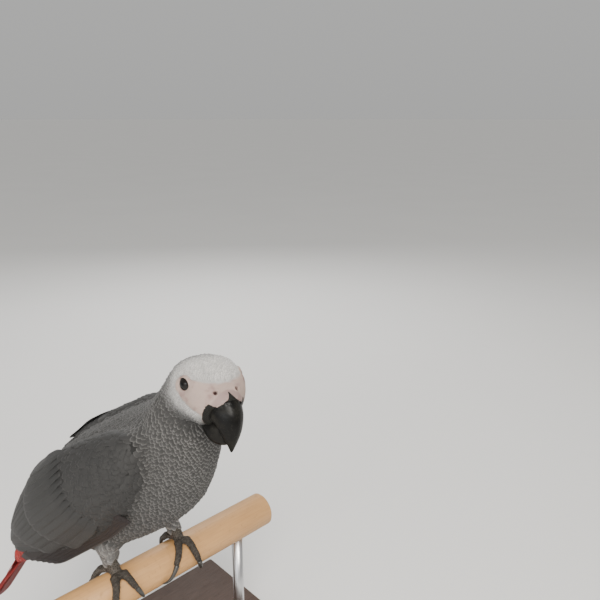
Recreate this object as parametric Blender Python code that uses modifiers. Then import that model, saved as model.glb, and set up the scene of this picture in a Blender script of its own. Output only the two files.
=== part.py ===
"""A grey parrot, life size, standing still on a cut length of pole that a plain display stand carries.

Metres, +Z up. The origin is the middle of the stand's underside. The pole lies along Y and the toes point
along +X and -X across it. The bird is modelled in its own frame, u forward, v to its left and w up, in
centimetres. The empty "bird" turns that frame and lifts it over the pole, and the empty "footing" is the top
of the pole.
"""

from collections import namedtuple
from math import cos, hypot, pi, radians, sin

import bmesh
import bpy
from mathutils import Matrix, Vector

CM = 0.01
GAP = 0.035  # cm, between pieces that touch

# Driving dimensions, in centimetres and degrees.
POLE_RADIUS = 1.35
POLE_LENGTH = 22.0
POLE_HEIGHT = 14.0  # of the pole's axis over the floor
BODY_LIFT = 0.8  # of the bird's frame over the top of the pole
BODY_YAW = 32.0  # of the trunk, from straight across the pole
HEAD_CENTRE = Vector((5.75, -1.15, 13.8))
HEAD_YAW = -39.0  # of the head, from the trunk
HEAD_PITCH = -9.0
HEAD_ROLL = -5.0
FOOT_SPACING = 5.2  # along the pole
TAIL_LENGTH = 8.6
EYE_RADIUS = 0.55
SIDES = 28  # points round a section of the body

for obj in list(bpy.data.objects):
    bpy.data.objects.remove(obj, do_unlink=True)


def collection(name, hidden=False):
    made = bpy.data.collections.new(name)
    bpy.context.scene.collection.children.link(made)
    made.hide_render = hidden
    return made


PARROT = collection("grey_parrot")
CUTTERS = collection("cutters", hidden=True)


def empty(name, location_cm, yaw=0.0):
    made = bpy.data.objects.new(name, None)
    made.location = Vector(location_cm) * CM
    made.rotation_euler.z = radians(yaw)
    PARROT.objects.link(made)
    return made


POLE_TOP = POLE_HEIGHT + POLE_RADIUS
BIRD = empty("bird", (0, 0, POLE_TOP + BODY_LIFT), BODY_YAW)
FOOTING = empty("footing", (0, 0, POLE_TOP))


def material(name, colour, roughness, metallic=0.0):
    made = bpy.data.materials.new(name)
    made.use_nodes = True
    shader = made.node_tree.nodes["Principled BSDF"]
    shader.inputs["Base Color"].default_value = (*colour, 1)
    shader.inputs["Roughness"].default_value = roughness
    shader.inputs["Metallic"].default_value = metallic
    return made


PALE_FEATHER = material("pale_feather", (0.45, 0.44, 0.42), 0.8)
GREY_FEATHER = material("grey_feather", (0.17, 0.17, 0.17), 0.8)
WING_FEATHER = material("wing_feather", (0.075, 0.07, 0.07), 0.65)
DARK_FEATHER = material("dark_feather", (0.03, 0.028, 0.03), 0.6)
RED_FEATHER = material("red_feather", (0.35, 0.02, 0.02), 0.65)
HORN = material("horn", (0.012, 0.012, 0.012), 0.4)
BARE_SKIN = material("bare_skin", (0.5, 0.45, 0.43), 0.6)
SCALY_SKIN = material("scaly_skin", (0.07, 0.065, 0.06), 0.6)
EYE = material("eye", (0.01, 0.008, 0.006), 0.05)
WOOD = material("wood", (0.5, 0.3, 0.14), 0.5)
DARK_WOOD = material("dark_wood", (0.06, 0.035, 0.02), 0.4)
STEEL = material("steel", (0.6, 0.6, 0.62), 0.3, 1.0)


def made_object(name, mesh, finish, parent, where=None):
    made = bpy.data.objects.new(name, mesh)
    if finish:
        mesh.materials.append(finish)
    made.parent = parent
    (where or PARROT).objects.link(made)
    if where is CUTTERS:
        made.hide_render = True
        made.display_type = "WIRE"
    return made


def from_bmesh(name, work, finish, parent, where=None):
    """An object from a bmesh in centimetres, closed and facing out."""
    bmesh.ops.recalc_face_normals(work, faces=work.faces)
    bmesh.ops.scale(work, vec=(CM, CM, CM), verts=work.verts)
    mesh = bpy.data.meshes.new(name)
    work.to_mesh(mesh)
    work.free()
    mesh.shade_smooth()
    return made_object(name, mesh, finish, parent, where)


def loft(name, rings, finish, parent, where=None):
    """A closed solid through rings of equally many points."""
    work = bmesh.new()
    rows = [[work.verts.new(p) for p in ring] for ring in rings]
    for low, high in zip(rows, rows[1:]):
        for i in range(len(low)):
            work.faces.new((low[i - 1], low[i], high[i], high[i - 1]))
    work.faces.new(rows[0])
    work.faces.new(rows[-1])
    return from_bmesh(name, work, finish, parent, where)


# --- The body's form: oval sections along the back, from the wing tips to the face. --------------------

OVAL = 2.0  # the squareness of a plain oval; above it, a section's upper half is fuller at its corners
Station = namedtuple("Station", "name u v w pitch yaw roll half_width above below squareness",
                     defaults=(OVAL,))


def axes(pitch, yaw, roll=0.0):
    """Forward, left and up of a frame turned by these degrees."""
    pitch, yaw, roll = radians(pitch), radians(yaw), radians(roll)
    forward = Vector((cos(pitch) * cos(yaw), cos(pitch) * sin(yaw), sin(pitch)))
    left = Vector((-sin(yaw), cos(yaw), 0))
    up = forward.cross(left)
    return forward, left * cos(roll) + up * sin(roll), up * cos(roll) - left * sin(roll)


HEAD_AXES = axes(HEAD_PITCH, HEAD_YAW, HEAD_ROLL)


def on_head(forward, left, up):
    return HEAD_CENTRE + HEAD_AXES[0] * forward + HEAD_AXES[1] * left + HEAD_AXES[2] * up


def head_station(name, forward, rise, tilt, half_width, above, below, squareness):
    """A section this far in front of the head's centre and above it, tipped back from the head by tilt."""
    place = on_head(forward, 0, rise)
    pitch = HEAD_PITCH + tilt
    return Station(name, *place, pitch, HEAD_YAW, HEAD_ROLL, half_width, above, below, squareness)


STATIONS = [
    Station("wing_tips", -11.8, 0, -4.4, 54, 0, 0, 1.9, 1.3, 1.0),
    Station("tail_root", -10.1, 0, -2.1, 53, 0, 0, 1.85, 0.85, 0.9),
    Station("vent", -8.5, 0, 0.0, 52, 0, 0, 2.5, 1.7, 2.3),
    Station("rump", -6.5, 0, 2.2, 48, 0, 0, 3.3, 2.6, 3.8),
    Station("loin", -4.3, 0, 4.3, 44, 0, 0, 3.9, 3.3, 5.0),
    Station("belly", -1.8, 0, 6.3, 42, 0, 0, 4.2, 3.4, 5.5),
    Station("breast", 0.8, 0, 8.3, 42, 0, 0, 4.2, 3.0, 5.4),
    Station("shoulder", 2.6, 0, 10.0, 42, -2, 0, 3.6, 2.4, 4.5),
    Station("low_neck", 3.75, -0.05, 11.45, 42, -14, -2, 2.9, 2.1, 3.5),
    head_station("neck", -1.3, -1.3, 42, 2.25, 1.9, 2.75, 2.1),
    head_station("nape", -0.85, -0.4, 24, 2.14, 1.98, 2.35, 2.35),
    head_station("ears", -0.15, -0.05, 8, 2.27, 2.0, 2.3, 2.7),
    head_station("eyes", 0.75, 0.0, 0, 2.15, 1.94, 2.2, 2.9),
    head_station("brow", 1.6, 0.0, 0, 1.9, 1.58, 1.95, 2.8),
    head_station("face", 2.15, -0.05, 0, 1.52, 1.15, 1.6, 2.5),
    head_station("lores", 2.45, -0.1, 0, 1.05, 0.9, 1.15, 2.3),
]
AT = {station.name: i for i, station in enumerate(STATIONS)}


def between(values, t):
    """Catmull-Rom through the values, at t counted in values from the first."""
    i = min(max(int(t), 0), len(values) - 2)
    f = t - i
    b, c = values[i], values[i + 1]
    a = values[i - 1] if i else 2 * b - c
    d = values[i + 2] if i + 2 < len(values) else 2 * c - b
    return b + 0.5 * f * (c - a + f * (2 * a - 5 * b + 4 * c - d + f * (3 * (b - c) + d - a)))


def along_track(values, share):
    """The same, at a share of the way from the first value to the last."""
    return between(list(values), share * (len(values) - 1))


TRACKS = {field: [getattr(s, field) for s in STATIONS] for field in Station._fields[1:]}


def body_point(t, angle, swell=0.0):
    """A point on the body, swell cm outside it. The angle runs from the middle of the back to the left."""
    at = {field: between(track, t) for field, track in TRACKS.items()}
    _, left, up = axes(at["pitch"], at["yaw"], at["roll"])
    across, over = sin(angle), cos(angle)
    height = at["above"] if over > 0 else at["below"]
    power = at["squareness"] if over > 0 else OVAL
    full = (abs(across) ** power + abs(over) ** power) ** (-1 / power)
    centre = Vector((at["u"], at["v"], at["w"]))
    return centre + (left * across * (at["half_width"] + swell) + up * over * (height + swell)) * full


def body_ring(t, swell=0.0):
    return [body_point(t, 2 * pi * i / SIDES, swell) for i in range(SIDES)]


def steps(start, stop, count):
    return [start + (stop - start) * i / (count - 1) for i in range(count)]


def body_length(name, start, stop, count, finish, swell=0.0, where=None):
    rings = [body_ring(t, swell) for t in steps(start, stop, count)]
    return loft(name, rings, finish, BIRD, where)


def cut(piece, *cutters):
    for cutter in cutters:
        difference = piece.modifiers.new(cutter.name, "BOOLEAN")
        difference.operation = "DIFFERENCE"
        difference.object = cutter


# The trunk, neck and head, parted by thin cuts.
CUT = 0.02  # half of a cut, counted in stations
RUMP_END = AT["rump"] - 0.3
NECK_START = AT["shoulder"] + 0.4
HEAD_START = AT["neck"] + 0.3
HEAD_END = len(STATIONS) - 1.0
body_length("rump", AT["tail_root"], RUMP_END - CUT, 6, GREY_FEATHER)
body_length("trunk", RUMP_END + CUT, NECK_START - CUT, 14, GREY_FEATHER)
body_length("neck", NECK_START + CUT, HEAD_START - CUT, 7, GREY_FEATHER)
head = body_length("head", HEAD_START + CUT, HEAD_END, 14, PALE_FEATHER)


def shell(name, outer, inner, rows, columns, finish):
    """A closed solid between two curved faces, each a function of the shares along and across, 0 to 1."""
    work = bmesh.new()
    faces = []
    for face in (outer, inner):
        points = [[face(i / rows, j / columns) for j in range(columns + 1)] for i in range(rows + 1)]
        faces.append([[work.verts.new(p) for p in row] for row in points])
    for grid in faces:
        for i in range(rows):
            for j in range(columns):
                work.faces.new((grid[i][j], grid[i][j + 1], grid[i + 1][j + 1], grid[i + 1][j]))
    top, under = faces
    for i in (0, rows):
        for j in range(columns):
            work.faces.new((top[i][j], top[i][j + 1], under[i][j + 1], under[i][j]))
    for j in (0, columns):
        for i in range(rows):
            work.faces.new((top[i][j], top[i + 1][j], under[i + 1][j], under[i][j]))
    return from_bmesh(name, work, finish, BIRD)


# --- The wings: shells laid over the sides of the trunk, from the shoulder to the blunt tips. ---

WING_EDGE = 0.06  # thickness at the wing's edges
# Each row: stations of the upper and lower edges, their angles from the middle of the back, thickness.
WING_ROWS = [
    (6.45, 7.00, 38, 84, 0.10),
    (6.1, 6.65, 32, 100, 0.60),
    (5.1, 5.60, 25, 112, 0.72),
    (4.1, 4.45, 19, 118, 0.62),
    (3.2, 3.50, 15, 120, 0.48),
    (2.35, 2.80, 15, 116, 0.36),
    (1.55, 2.20, 19, 98, 0.22),
]
WING_FRONT = 0.35  # how far the bend of the wing bulges forward, counted in stations
WING_FRONT_FADE = 6  # the power by which that bulge dies away along the wing
WING_FLATNESS = 5  # the power that keeps the wing thick almost to its edges


def wing_surface(side, lift, share):
    """A face of the wing, its inner height being lift; share is how much of the thickness it adds."""

    def point(along, across):
        high, low, top, bottom, thickness = (along_track(track, along) for track in zip(*WING_ROWS))
        t = high + (low - high) * across + WING_FRONT * sin(pi * across) * (1 - along) ** WING_FRONT_FADE
        angle = radians(top + (bottom - top) * across)
        full = 1 - abs(2 * across - 1) ** WING_FLATNESS
        return body_point(t, side * angle, lift + share * (WING_EDGE + thickness * full))

    return point


SIDE_NAMES = {1: "left", -1: "right"}
WING_LIFT = 0.2  # leaves room for the flight feathers under the wing's lower edge
for side, side_name in SIDE_NAMES.items():
    shell(f"wing_{side_name}", wing_surface(side, WING_LIFT, 1), wing_surface(side, WING_LIFT, 0), 16, 10,
          WING_FEATHER)


PRIMARIES_FRONT = 5.5  # the station where the flight feathers come out from under the wing
PRIMARIES_REACH = 3.5  # how far back they go, counted in stations
PRIMARIES_TOP = 102  # degrees from the middle of the back
PRIMARIES_ENDS = 4  # degrees across, at each end of the fan
PRIMARIES_FULL = 26  # and how many more in the middle
PRIMARIES_SKEW = 0.8  # the power that brings the fan's widest part towards the front
PRIMARIES_HEIGHTS = (0.14, 0.06)  # of the outer and the inner face over the body


def primaries_surface(side, height):
    """A face of the thin fan of flight feathers that shows below the wing's lower edge."""

    def point(along, across):
        t = PRIMARIES_FRONT - PRIMARIES_REACH * along
        width = PRIMARIES_ENDS + PRIMARIES_FULL * sin(pi * along ** PRIMARIES_SKEW)
        return body_point(t, side * radians(PRIMARIES_TOP + width * across), height)

    return point


for side, side_name in SIDE_NAMES.items():
    outer, inner = (primaries_surface(side, height) for height in PRIMARIES_HEIGHTS)
    shell(f"primaries_{side_name}", outer, inner, 10, 3, DARK_FEATHER)

# --- The tail: a folded fan of long feathers, arched across. -------------------------------------------

TAIL_PITCH = 53.5
TAIL_ARCH = 0.28
TAIL_HALF_WIDTH = 1.75
TAIL_PINCH = 0.18  # how much narrower the tail is at its root, as a share
TAIL_CORNERS = 0.10  # how much shorter it is at its corners, as a share
TAIL_ROUNDNESS = 2.5  # the power of x that rounds its end
TAIL_FULLNESS = 3  # and the one that thins it towards its sides
TAIL_EDGE = 0.05  # half of its thickness at the sides
TAIL_ROOT_THICKNESS = 0.5  # what the middle adds at the root, and at the tip
TAIL_TIP_THICKNESS = 0.12
tail_forward, tail_left, tail_up = axes(TAIL_PITCH, 0)
tail_start = Vector((STATIONS[AT["tail_root"]].u, 0, STATIONS[AT["tail_root"]].w)) - tail_forward * GAP


def tail_surface(sign):
    def point(along, across):
        x = 2 * across - 1
        length = TAIL_LENGTH * along * (1 - TAIL_CORNERS * abs(x) ** TAIL_ROUNDNESS)
        half_width = TAIL_HALF_WIDTH * (1 - TAIL_PINCH * (1 - sin(pi * min(along, 0.5))))
        middle = TAIL_ROOT_THICKNESS * (1 - along) + TAIL_TIP_THICKNESS * along
        rise = sign * (TAIL_EDGE + middle / 2 * (1 - abs(x) ** TAIL_FULLNESS)) - TAIL_ARCH * x * x
        return tail_start - tail_forward * length + tail_left * half_width * x + tail_up * rise

    return point


shell("tail", tail_surface(1), tail_surface(-1), 8, 10, RED_FEATHER)

# --- The bill: an arched upper half over a short scoop, and the bare cere over its root. ---------------


def bezier(start, bend, stop, t):
    point = [a * (1 - t) ** 2 + 2 * b * t * (1 - t) + c * t * t for a, b, c in zip(start, bend, stop)]
    slope = [2 * (1 - t) * (b - a) + 2 * t * (c - b) for a, b, c in zip(start, bend, stop)]
    return point, slope


Half = namedtuple("Half", "start bend stop half_width outer inner roof")
# Paths are (forward, up) from the head's centre. The rest runs from the root to the tip, and roof is how
# far a section narrows to its ridge and widens to its lower edges, as a share.
UPPER = Half((1.9, -0.1), (3.5, 0.0), (3.68, -2.5), (1.22, 1.08, 0.88, 0.58, 0.07),
             (0.88, 0.92, 0.8, 0.5, 0.04), (1.55, 1.25, 0.8, 0.42, 0.04), 0.3)
LOWER = Half((1.6, -1.4), (2.5, -2.15), (3.3, -2.1), (1.05, 1.02, 0.88, 0.64, 0.25),
             (0.5, 0.85, 1.0, 0.75, 0.08), (0.9, 0.94, 0.78, 0.46, 0.08), 0.0)


def bill_point(half, t, angle, swell=0.0):
    """A point on one half of the bill; the angle runs from the ridge round to the left."""
    (forward, up), (run, rise) = bezier(half.start, half.bend, half.stop, t)
    length = hypot(run, rise)
    normal = (-rise / length, run / length)
    spread = along_track(half.half_width, t) * (1 - half.roof * cos(angle)) + swell
    depth = along_track(half.outer if cos(angle) > 0 else half.inner, t) + swell
    out = depth * cos(angle)
    return on_head(forward + normal[0] * out, spread * sin(angle), up + normal[1] * out)


BILL_SIDES = 16


def bill_half(name, half, finish, swell=0.0, where=None):
    rings = [[bill_point(half, t, 2 * pi * i / BILL_SIDES, swell) for i in range(BILL_SIDES)]
             for t in steps(0, 1, 13)]
    return loft(name, rings, finish, BIRD, where)


head_room = body_length("head_room", HEAD_START, HEAD_END, 14, None, GAP, CUTTERS)
bill_upper = bill_half("bill_upper", UPPER, HORN)
bill_lower = bill_half("bill_lower", LOWER, HORN)
upper_room = bill_half("bill_upper_room", UPPER, None, GAP, CUTTERS)


CERE_ROOT = 0.10  # where it starts along the bill, as a share of the bill's path
CERE_DEPTH = 0.16  # how far it reaches over the bill's root, as a share
CERE_SPREAD = 96  # degrees it reaches down each side from the ridge
CERE_EDGE = 0.05  # thickness at its edges
CERE_FLATNESS = 4  # the power that keeps it full almost to its sides
CERE_LOBE = 0.6  # the share of its reach that its middle has over its sides
CERE_SWELL = 0.10  # and what the middle adds
CERE_THINNING = 0.7  # the share of that swell it loses towards its front


def cere_surface(edge, swell):
    """A face of the cere, edge cm over the bill's root at the rim and swell cm more in the middle."""

    def point(along, across):
        fade = 1 - abs(2 * across - 1) ** CERE_FLATNESS
        t = CERE_ROOT + CERE_DEPTH * along * (1 - CERE_LOBE * (1 - fade))
        height = GAP + edge + swell * fade * (1 - CERE_THINNING * along ** 3)
        return bill_point(UPPER, t, radians(CERE_SPREAD) * (2 * across - 1), height)

    return point


cere = shell("cere", cere_surface(CERE_EDGE, CERE_SWELL), cere_surface(0, 0), 4, 10, BARE_SKIN)
cut(bill_upper, head_room)
cut(bill_lower, head_room, upper_room)
cut(cere, head_room)

# --- The eyes, each in a socket cut into the side of the head. -----------------------------------------

EYE_PLACE = (0.5, 1.57, 0.8)
BALL_SEGMENTS = 16


def ball(name, place, radius, finish, where=None):
    work = bmesh.new()
    bmesh.ops.create_uvsphere(work, u_segments=BALL_SEGMENTS, v_segments=BALL_SEGMENTS // 2, radius=radius)
    bmesh.ops.translate(work, verts=work.verts, vec=place)
    return from_bmesh(name, work, finish, BIRD, where)


for side, side_name in SIDE_NAMES.items():
    centre = on_head(EYE_PLACE[0], side * EYE_PLACE[1], EYE_PLACE[2])
    ball(f"eye_{side_name}", centre, EYE_RADIUS, EYE)
    cut(head, ball(f"socket_{side_name}", centre, EYE_RADIUS + GAP, None, where=CUTTERS))

# --- The legs. Each foot holds the pole with two toes in front and two behind. -------------------------


def tube(name, points, radii, finish):
    """A tapered tube through points in centimetres, from the top of the pole."""
    curve = bpy.data.curves.new(name, "CURVE")
    curve.dimensions = "3D"
    curve.bevel_depth = CM
    curve.bevel_resolution = 2
    curve.use_fill_caps = True
    spline = curve.splines.new("POLY")
    spline.points.add(len(points) - 1)
    for knot, place, radius in zip(spline.points, points, radii):
        knot.co = (*(Vector(place) * CM), 1)
        knot.radius = radius
    return made_object(name, curve, finish, FOOTING)


TOE_RADIUS = 0.31
TOE_TAPER = 0.22  # how much thinner a toe is at its end, as a share
TOE_SPREAD = 0.37  # from the middle of the foot to the root of a toe
TOE_GAP = GAP + 0.02  # under a toe, whose straight steps dip towards the pole
PADS = 3
PAD_SWELL = 0.07
Toe = namedtuple("Toe", "name way inner start stop splay")
# way is 1 in front and -1 behind; inner toes are nearer the bird's middle. Angles run round the pole from
# its top, and splay is how far along the pole the toe's end strays from its root.
TOES = [
    Toe("inner_front", 1, 1, 19, 70, 0.65),
    Toe("outer_front", 1, -1, 19, 90, 0.55),
    Toe("inner_back", -1, 1, 19, 60, 0.25),
    Toe("outer_back", -1, -1, 19, 84, 0.80),
]
FOOT_TURN = 0.2  # how far the toes in front reach towards -Y, and those behind towards +Y
CLAW_SWEEP = 40  # degrees round the pole from the claw's root to its tip
CLAW_ARCH = 0.16
TOE_BEND = 1.5  # the power by which a toe strays along the pole
CLAW_HOOK = 1.5  # the power that moves its arch towards the tip
CLAW_RADIUS = 0.19
CLAW_FULLNESS = 0.7  # the power by which it thins; below 1 it stays thick longer
TIP_RADIUS = 0.03


def toe_place(radius, angle, y):
    """A point beside the pole, at this radius from its axis and this angle from its top."""
    return Vector((radius * sin(angle), y, radius * cos(angle) - POLE_RADIUS))


def add_toe(toe, side, side_name):
    root_y = side * (FOOT_SPACING / 2 - toe.inner * TOE_SPREAD)
    start, stop = radians(toe.start), radians(toe.stop)
    splay = -side * toe.inner * toe.splay - toe.way * FOOT_TURN
    points, radii = [], []
    for share in steps(0, 1, 9):
        radius = TOE_RADIUS * (1 - TOE_TAPER * share) * (1 + PAD_SWELL * cos(share * PADS * 2 * pi))
        angle = toe.way * (start + (stop - start) * share)
        y = root_y + splay * share ** TOE_BEND
        points.append(toe_place(POLE_RADIUS + TOE_GAP + radius, angle, y))
        radii.append(radius)
    tube(f"toe_{toe.name}_{side_name}", points, radii, SCALY_SKIN)
    root = POLE_RADIUS + TOE_GAP + radii[-1]
    rest = POLE_RADIUS + GAP + TIP_RADIUS
    gap_turn = 2 * GAP / root
    slope = TOE_BEND * splay / (stop - start)  # the claw goes on the way the toe's end points
    claw, widths = [], []
    for share in steps(0, 1, 7):
        width = (CLAW_RADIUS - TIP_RADIUS) * (1 - share) ** CLAW_FULLNESS + TIP_RADIUS
        arch = 4 * CLAW_ARCH * share ** CLAW_HOOK * (1 - share)
        out = root + (rest - root) * share ** 2 + arch
        turn = gap_turn + radians(CLAW_SWEEP) * share
        claw.append(toe_place(out, toe.way * (stop + turn), points[-1].y + slope * turn))
        widths.append(width)
    tube(f"claw_{toe.name}_{side_name}", claw, widths, HORN)


# Level rings of the shank: height over the pole, how far the ring is set back, and radius.
SHANK_RINGS = [(0.06, 0, 0.36), (0.35, 0, 0.46), (0.7, 0.08, 0.42), (1.3, 0.32, 0.38)]
KNEE = (1.34, 0.34)  # height over the pole and how far back, at the lower end of the thigh
HIP = (-1.6, 1.5, 5.2)  # in the bird's frame, on its left
# Level rings of the thigh: share of the way from the knee to the hip, and radius.
THIGH_RINGS = [(0, 0.5), (0.1, 0.85), (0.3, 1.2), (0.55, 1.35), (0.8, 1.1), (1, 0.6)]
RING_SIDES = 20


def level_ring(centre, radius):
    turns = (2 * pi * i / RING_SIDES for i in range(RING_SIDES))
    return [centre + Vector((cos(turn), sin(turn), 0)) * radius for turn in turns]


# The legs stop at the body, clear of the flight feathers that lie on it.
clear = max(PRIMARIES_HEIGHTS) + GAP
trunk_room = body_length("trunk_room", AT["tail_root"], AT["neck"], 20, None, clear, CUTTERS)


def add_leg(side, side_name):
    foot = Vector((0, side * FOOT_SPACING / 2, 0))
    up = Vector((0, 0, 1))
    turned = Matrix.Rotation(radians(BODY_YAW), 3, "Z")
    back = turned @ Vector((-1, 0, 0))
    shank = [level_ring(foot + up * rise + back * lean, radius) for rise, lean, radius in SHANK_RINGS]
    cut(loft(f"shank_{side_name}", shank, SCALY_SKIN, FOOTING), trunk_room)
    knee = foot + up * KNEE[0] + back * KNEE[1]
    hip = turned @ Vector((HIP[0], side * HIP[1], HIP[2] + BODY_LIFT))
    thigh = [level_ring(knee.lerp(hip, share), radius) for share, radius in THIGH_RINGS]
    cut(loft(f"thigh_{side_name}", thigh, PALE_FEATHER, FOOTING), trunk_room)
    for toe in TOES:
        add_toe(toe, side, side_name)


for side, side_name in SIDE_NAMES.items():
    add_leg(side, side_name)

# --- The pole and the stand. ---------------------------------------------------------------------------

BASE_SIZE = (22.0, 26.0, 1.4)
BASE_EDGE = 0.25
ROD_RADIUS = 0.45
ROD_SPREAD = 8.2  # of a rod from the middle of the pole
POLE_ROUNDING = 0.12


def cylinder(name, radius, length, centre, finish, turn=None, segments=32, where=None):
    work = bmesh.new()
    bmesh.ops.create_cone(work, cap_ends=True, segments=segments, radius1=radius, radius2=radius,
                          depth=length)
    bmesh.ops.transform(work, verts=work.verts, matrix=Matrix.Translation(centre) @ (turn or Matrix()))
    return from_bmesh(name, work, finish, None, where)


def rounded(piece, width_cm, segments=1):
    bevel = piece.modifiers.new("rounded", "BEVEL")
    bevel.width = width_cm * CM
    bevel.segments = segments
    bevel.limit_method = "ANGLE"


ALONG_Y = Matrix.Rotation(pi / 2, 4, "X")
pole_axis = Vector((0, 0, POLE_HEIGHT))
pole = cylinder("perch", POLE_RADIUS, POLE_LENGTH, pole_axis, WOOD, ALONG_Y)
rounded(pole, POLE_ROUNDING)
pole_room = cylinder("perch_room", POLE_RADIUS + GAP, POLE_LENGTH + 2, pole_axis, None, ALONG_Y,
                     where=CUTTERS)
for side, side_name in SIDE_NAMES.items():
    foot_z = BASE_SIZE[2] + GAP
    height = POLE_HEIGHT - POLE_RADIUS / 2 - foot_z
    rod_centre = Vector((0, side * ROD_SPREAD, foot_z + height / 2))
    rod = cylinder(f"stand_rod_{side_name}", ROD_RADIUS, height, rod_centre, STEEL, segments=20)
    cut(rod, pole_room)

work = bmesh.new()
bmesh.ops.create_cube(work, size=1)
bmesh.ops.scale(work, verts=work.verts, vec=BASE_SIZE)
bmesh.ops.translate(work, verts=work.verts, vec=(0, 0, BASE_SIZE[2] / 2))
rounded(from_bmesh("stand_base", work, DARK_WOOD, None), BASE_EDGE, 3)
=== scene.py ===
from math import cos, pi, radians, sin

import bmesh
import bpy
import numpy as np
from mathutils import Matrix, Vector, kdtree
from mathutils.bvhtree import BVHTree


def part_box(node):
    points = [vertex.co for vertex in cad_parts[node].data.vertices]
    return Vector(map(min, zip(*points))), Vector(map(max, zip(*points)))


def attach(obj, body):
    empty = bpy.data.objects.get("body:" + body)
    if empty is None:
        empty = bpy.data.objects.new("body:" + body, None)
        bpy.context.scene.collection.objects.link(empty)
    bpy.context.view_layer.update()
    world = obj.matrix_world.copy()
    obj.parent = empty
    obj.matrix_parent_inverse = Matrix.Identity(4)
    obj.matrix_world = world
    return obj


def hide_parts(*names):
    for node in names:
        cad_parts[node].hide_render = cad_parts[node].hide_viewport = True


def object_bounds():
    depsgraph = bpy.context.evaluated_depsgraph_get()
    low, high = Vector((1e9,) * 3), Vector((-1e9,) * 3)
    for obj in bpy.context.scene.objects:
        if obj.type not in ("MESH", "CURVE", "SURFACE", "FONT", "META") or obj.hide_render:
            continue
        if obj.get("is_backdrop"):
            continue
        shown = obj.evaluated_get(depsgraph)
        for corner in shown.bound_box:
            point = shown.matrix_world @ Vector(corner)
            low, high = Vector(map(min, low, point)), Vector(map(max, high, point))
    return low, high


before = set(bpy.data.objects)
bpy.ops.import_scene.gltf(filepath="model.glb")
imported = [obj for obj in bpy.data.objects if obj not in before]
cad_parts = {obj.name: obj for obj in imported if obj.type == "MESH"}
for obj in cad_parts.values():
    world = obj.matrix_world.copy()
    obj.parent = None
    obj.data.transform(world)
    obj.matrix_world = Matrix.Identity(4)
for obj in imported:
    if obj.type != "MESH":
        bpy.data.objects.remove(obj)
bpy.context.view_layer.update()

MM = 0.001

# --- The display stand --------------------------------------------------------------------------------------
# A plain plinth of dark stained hardwood with two brushed steel rods up to the perch. The plinth is oiled, so
# its grain shows along Y, and the rods are drawn bar, rubbed along their length.


class Reading:
    """A shader socket that Python's operators work on: each adds a Math node."""

    def __init__(self, finish, socket):
        self.finish = finish
        self.socket = socket

    def maths(self, operation, *values):
        return self.finish.node("ShaderNodeMath", {"operation": operation}, *values)

    def __add__(self, other):
        return self.maths("ADD", self, other)

    def __sub__(self, other):
        return self.maths("SUBTRACT", self, other)

    def __rsub__(self, other):
        return self.maths("SUBTRACT", other, self)

    def __mul__(self, other):
        return self.maths("MULTIPLY", self, other)

    def __truediv__(self, other):
        return self.maths("DIVIDE", self, other)

    def __pow__(self, other):
        return self.maths("POWER", self, other)

    __radd__ = __add__
    __rmul__ = __mul__

    def sine(self):
        return self.maths("SINE", self)

    def size(self):
        return self.maths("ABSOLUTE", self)

    def step(self, low, high):
        """0 below low and 1 above high, smooth between."""
        settings = {"interpolation_type": "SMOOTHSTEP"}
        return self.finish.node("ShaderNodeMapRange", settings, self, low, high, 0.0, 1.0)


class Finish:
    """A Principled material. Sockets that don't vary are set by name when it is made."""

    def __init__(self, name, **constants):
        self.material = bpy.data.materials.new(name)
        self.material.use_nodes = True
        self.tree = self.material.node_tree
        self.shader = self.tree.nodes["Principled BSDF"]
        for socket, value in constants.items():
            self.shader.inputs[socket.replace("_", " ")].default_value = value

    def node(self, kind, settings, *values, output=0, **named):
        made = self.tree.nodes.new(kind)
        for key, value in settings.items():
            setattr(made, key, value)
        for socket, value in zip(made.inputs, values):
            self.join(value, socket)
        for key, value in named.items():
            self.join(value, made.inputs[key])
        return Reading(self, made.outputs[output])

    def join(self, value, socket):
        if isinstance(value, Reading):
            self.tree.links.new(value.socket, socket)
        elif value is not None:
            socket.default_value = value

    def place(self, scale=(1, 1, 1)):
        """Object coordinates, stretched by scale."""
        here = self.node("ShaderNodeTexCoord", {}, output="Object")
        return self.node("ShaderNodeVectorMath", {"operation": "MULTIPLY"}, here, scale)

    def noise(self, scale, detail=3.0, stretch=(1, 1, 1)):
        return self.node("ShaderNodeTexNoise", {}, Vector=self.place(stretch), Scale=scale, Detail=detail)

    def cells(self, scale):
        """How far each place is from the edge of its cell, where cells tile the surface."""
        nearest_edge = {"feature": "DISTANCE_TO_EDGE"}
        return self.node("ShaderNodeTexVoronoi", nearest_edge, Vector=self.place(), Scale=scale)

    def kept(self, name, output="Fac"):
        """What the mesh keeps under this name."""
        return self.node("ShaderNodeAttribute", {"attribute_name": name}, output=output)

    def apart(self, name):
        """The three numbers of a kept vector."""
        vector = self.kept(name, "Vector")
        return [self.node("ShaderNodeSeparateXYZ", {}, vector, output=i) for i in range(3)]

    def mixed(self, share, first, second):
        """A colour between two, given as (r, g, b) or as sockets."""
        made = self.tree.nodes.new("ShaderNodeMix")
        made.data_type = "RGBA"
        self.join(share, made.inputs[0])
        for socket, colour in ((made.inputs[6], first), (made.inputs[7], second)):
            self.join(colour if isinstance(colour, Reading) else (*colour, 1), socket)
        return Reading(self, made.outputs[2])

    def feed(self, bump=None, depth=0.0, **inputs):
        for name, value in inputs.items():
            self.join(value, self.shader.inputs[name.replace("_", " ")])
        if bump is not None:
            normal = self.node("ShaderNodeBump", {}, Height=bump, Strength=1.0, Distance=depth)
            self.join(normal, self.shader.inputs["Normal"])
        return self.material


def merged(*names):
    """These CAD nodes' meshes as one, with the corners that touch made one, as a bmesh."""
    work = bmesh.new()
    for name in names:
        work.from_mesh(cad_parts[name].data)
    bmesh.ops.remove_doubles(work, verts=work.verts, dist=0.01 * MM)
    return work


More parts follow.
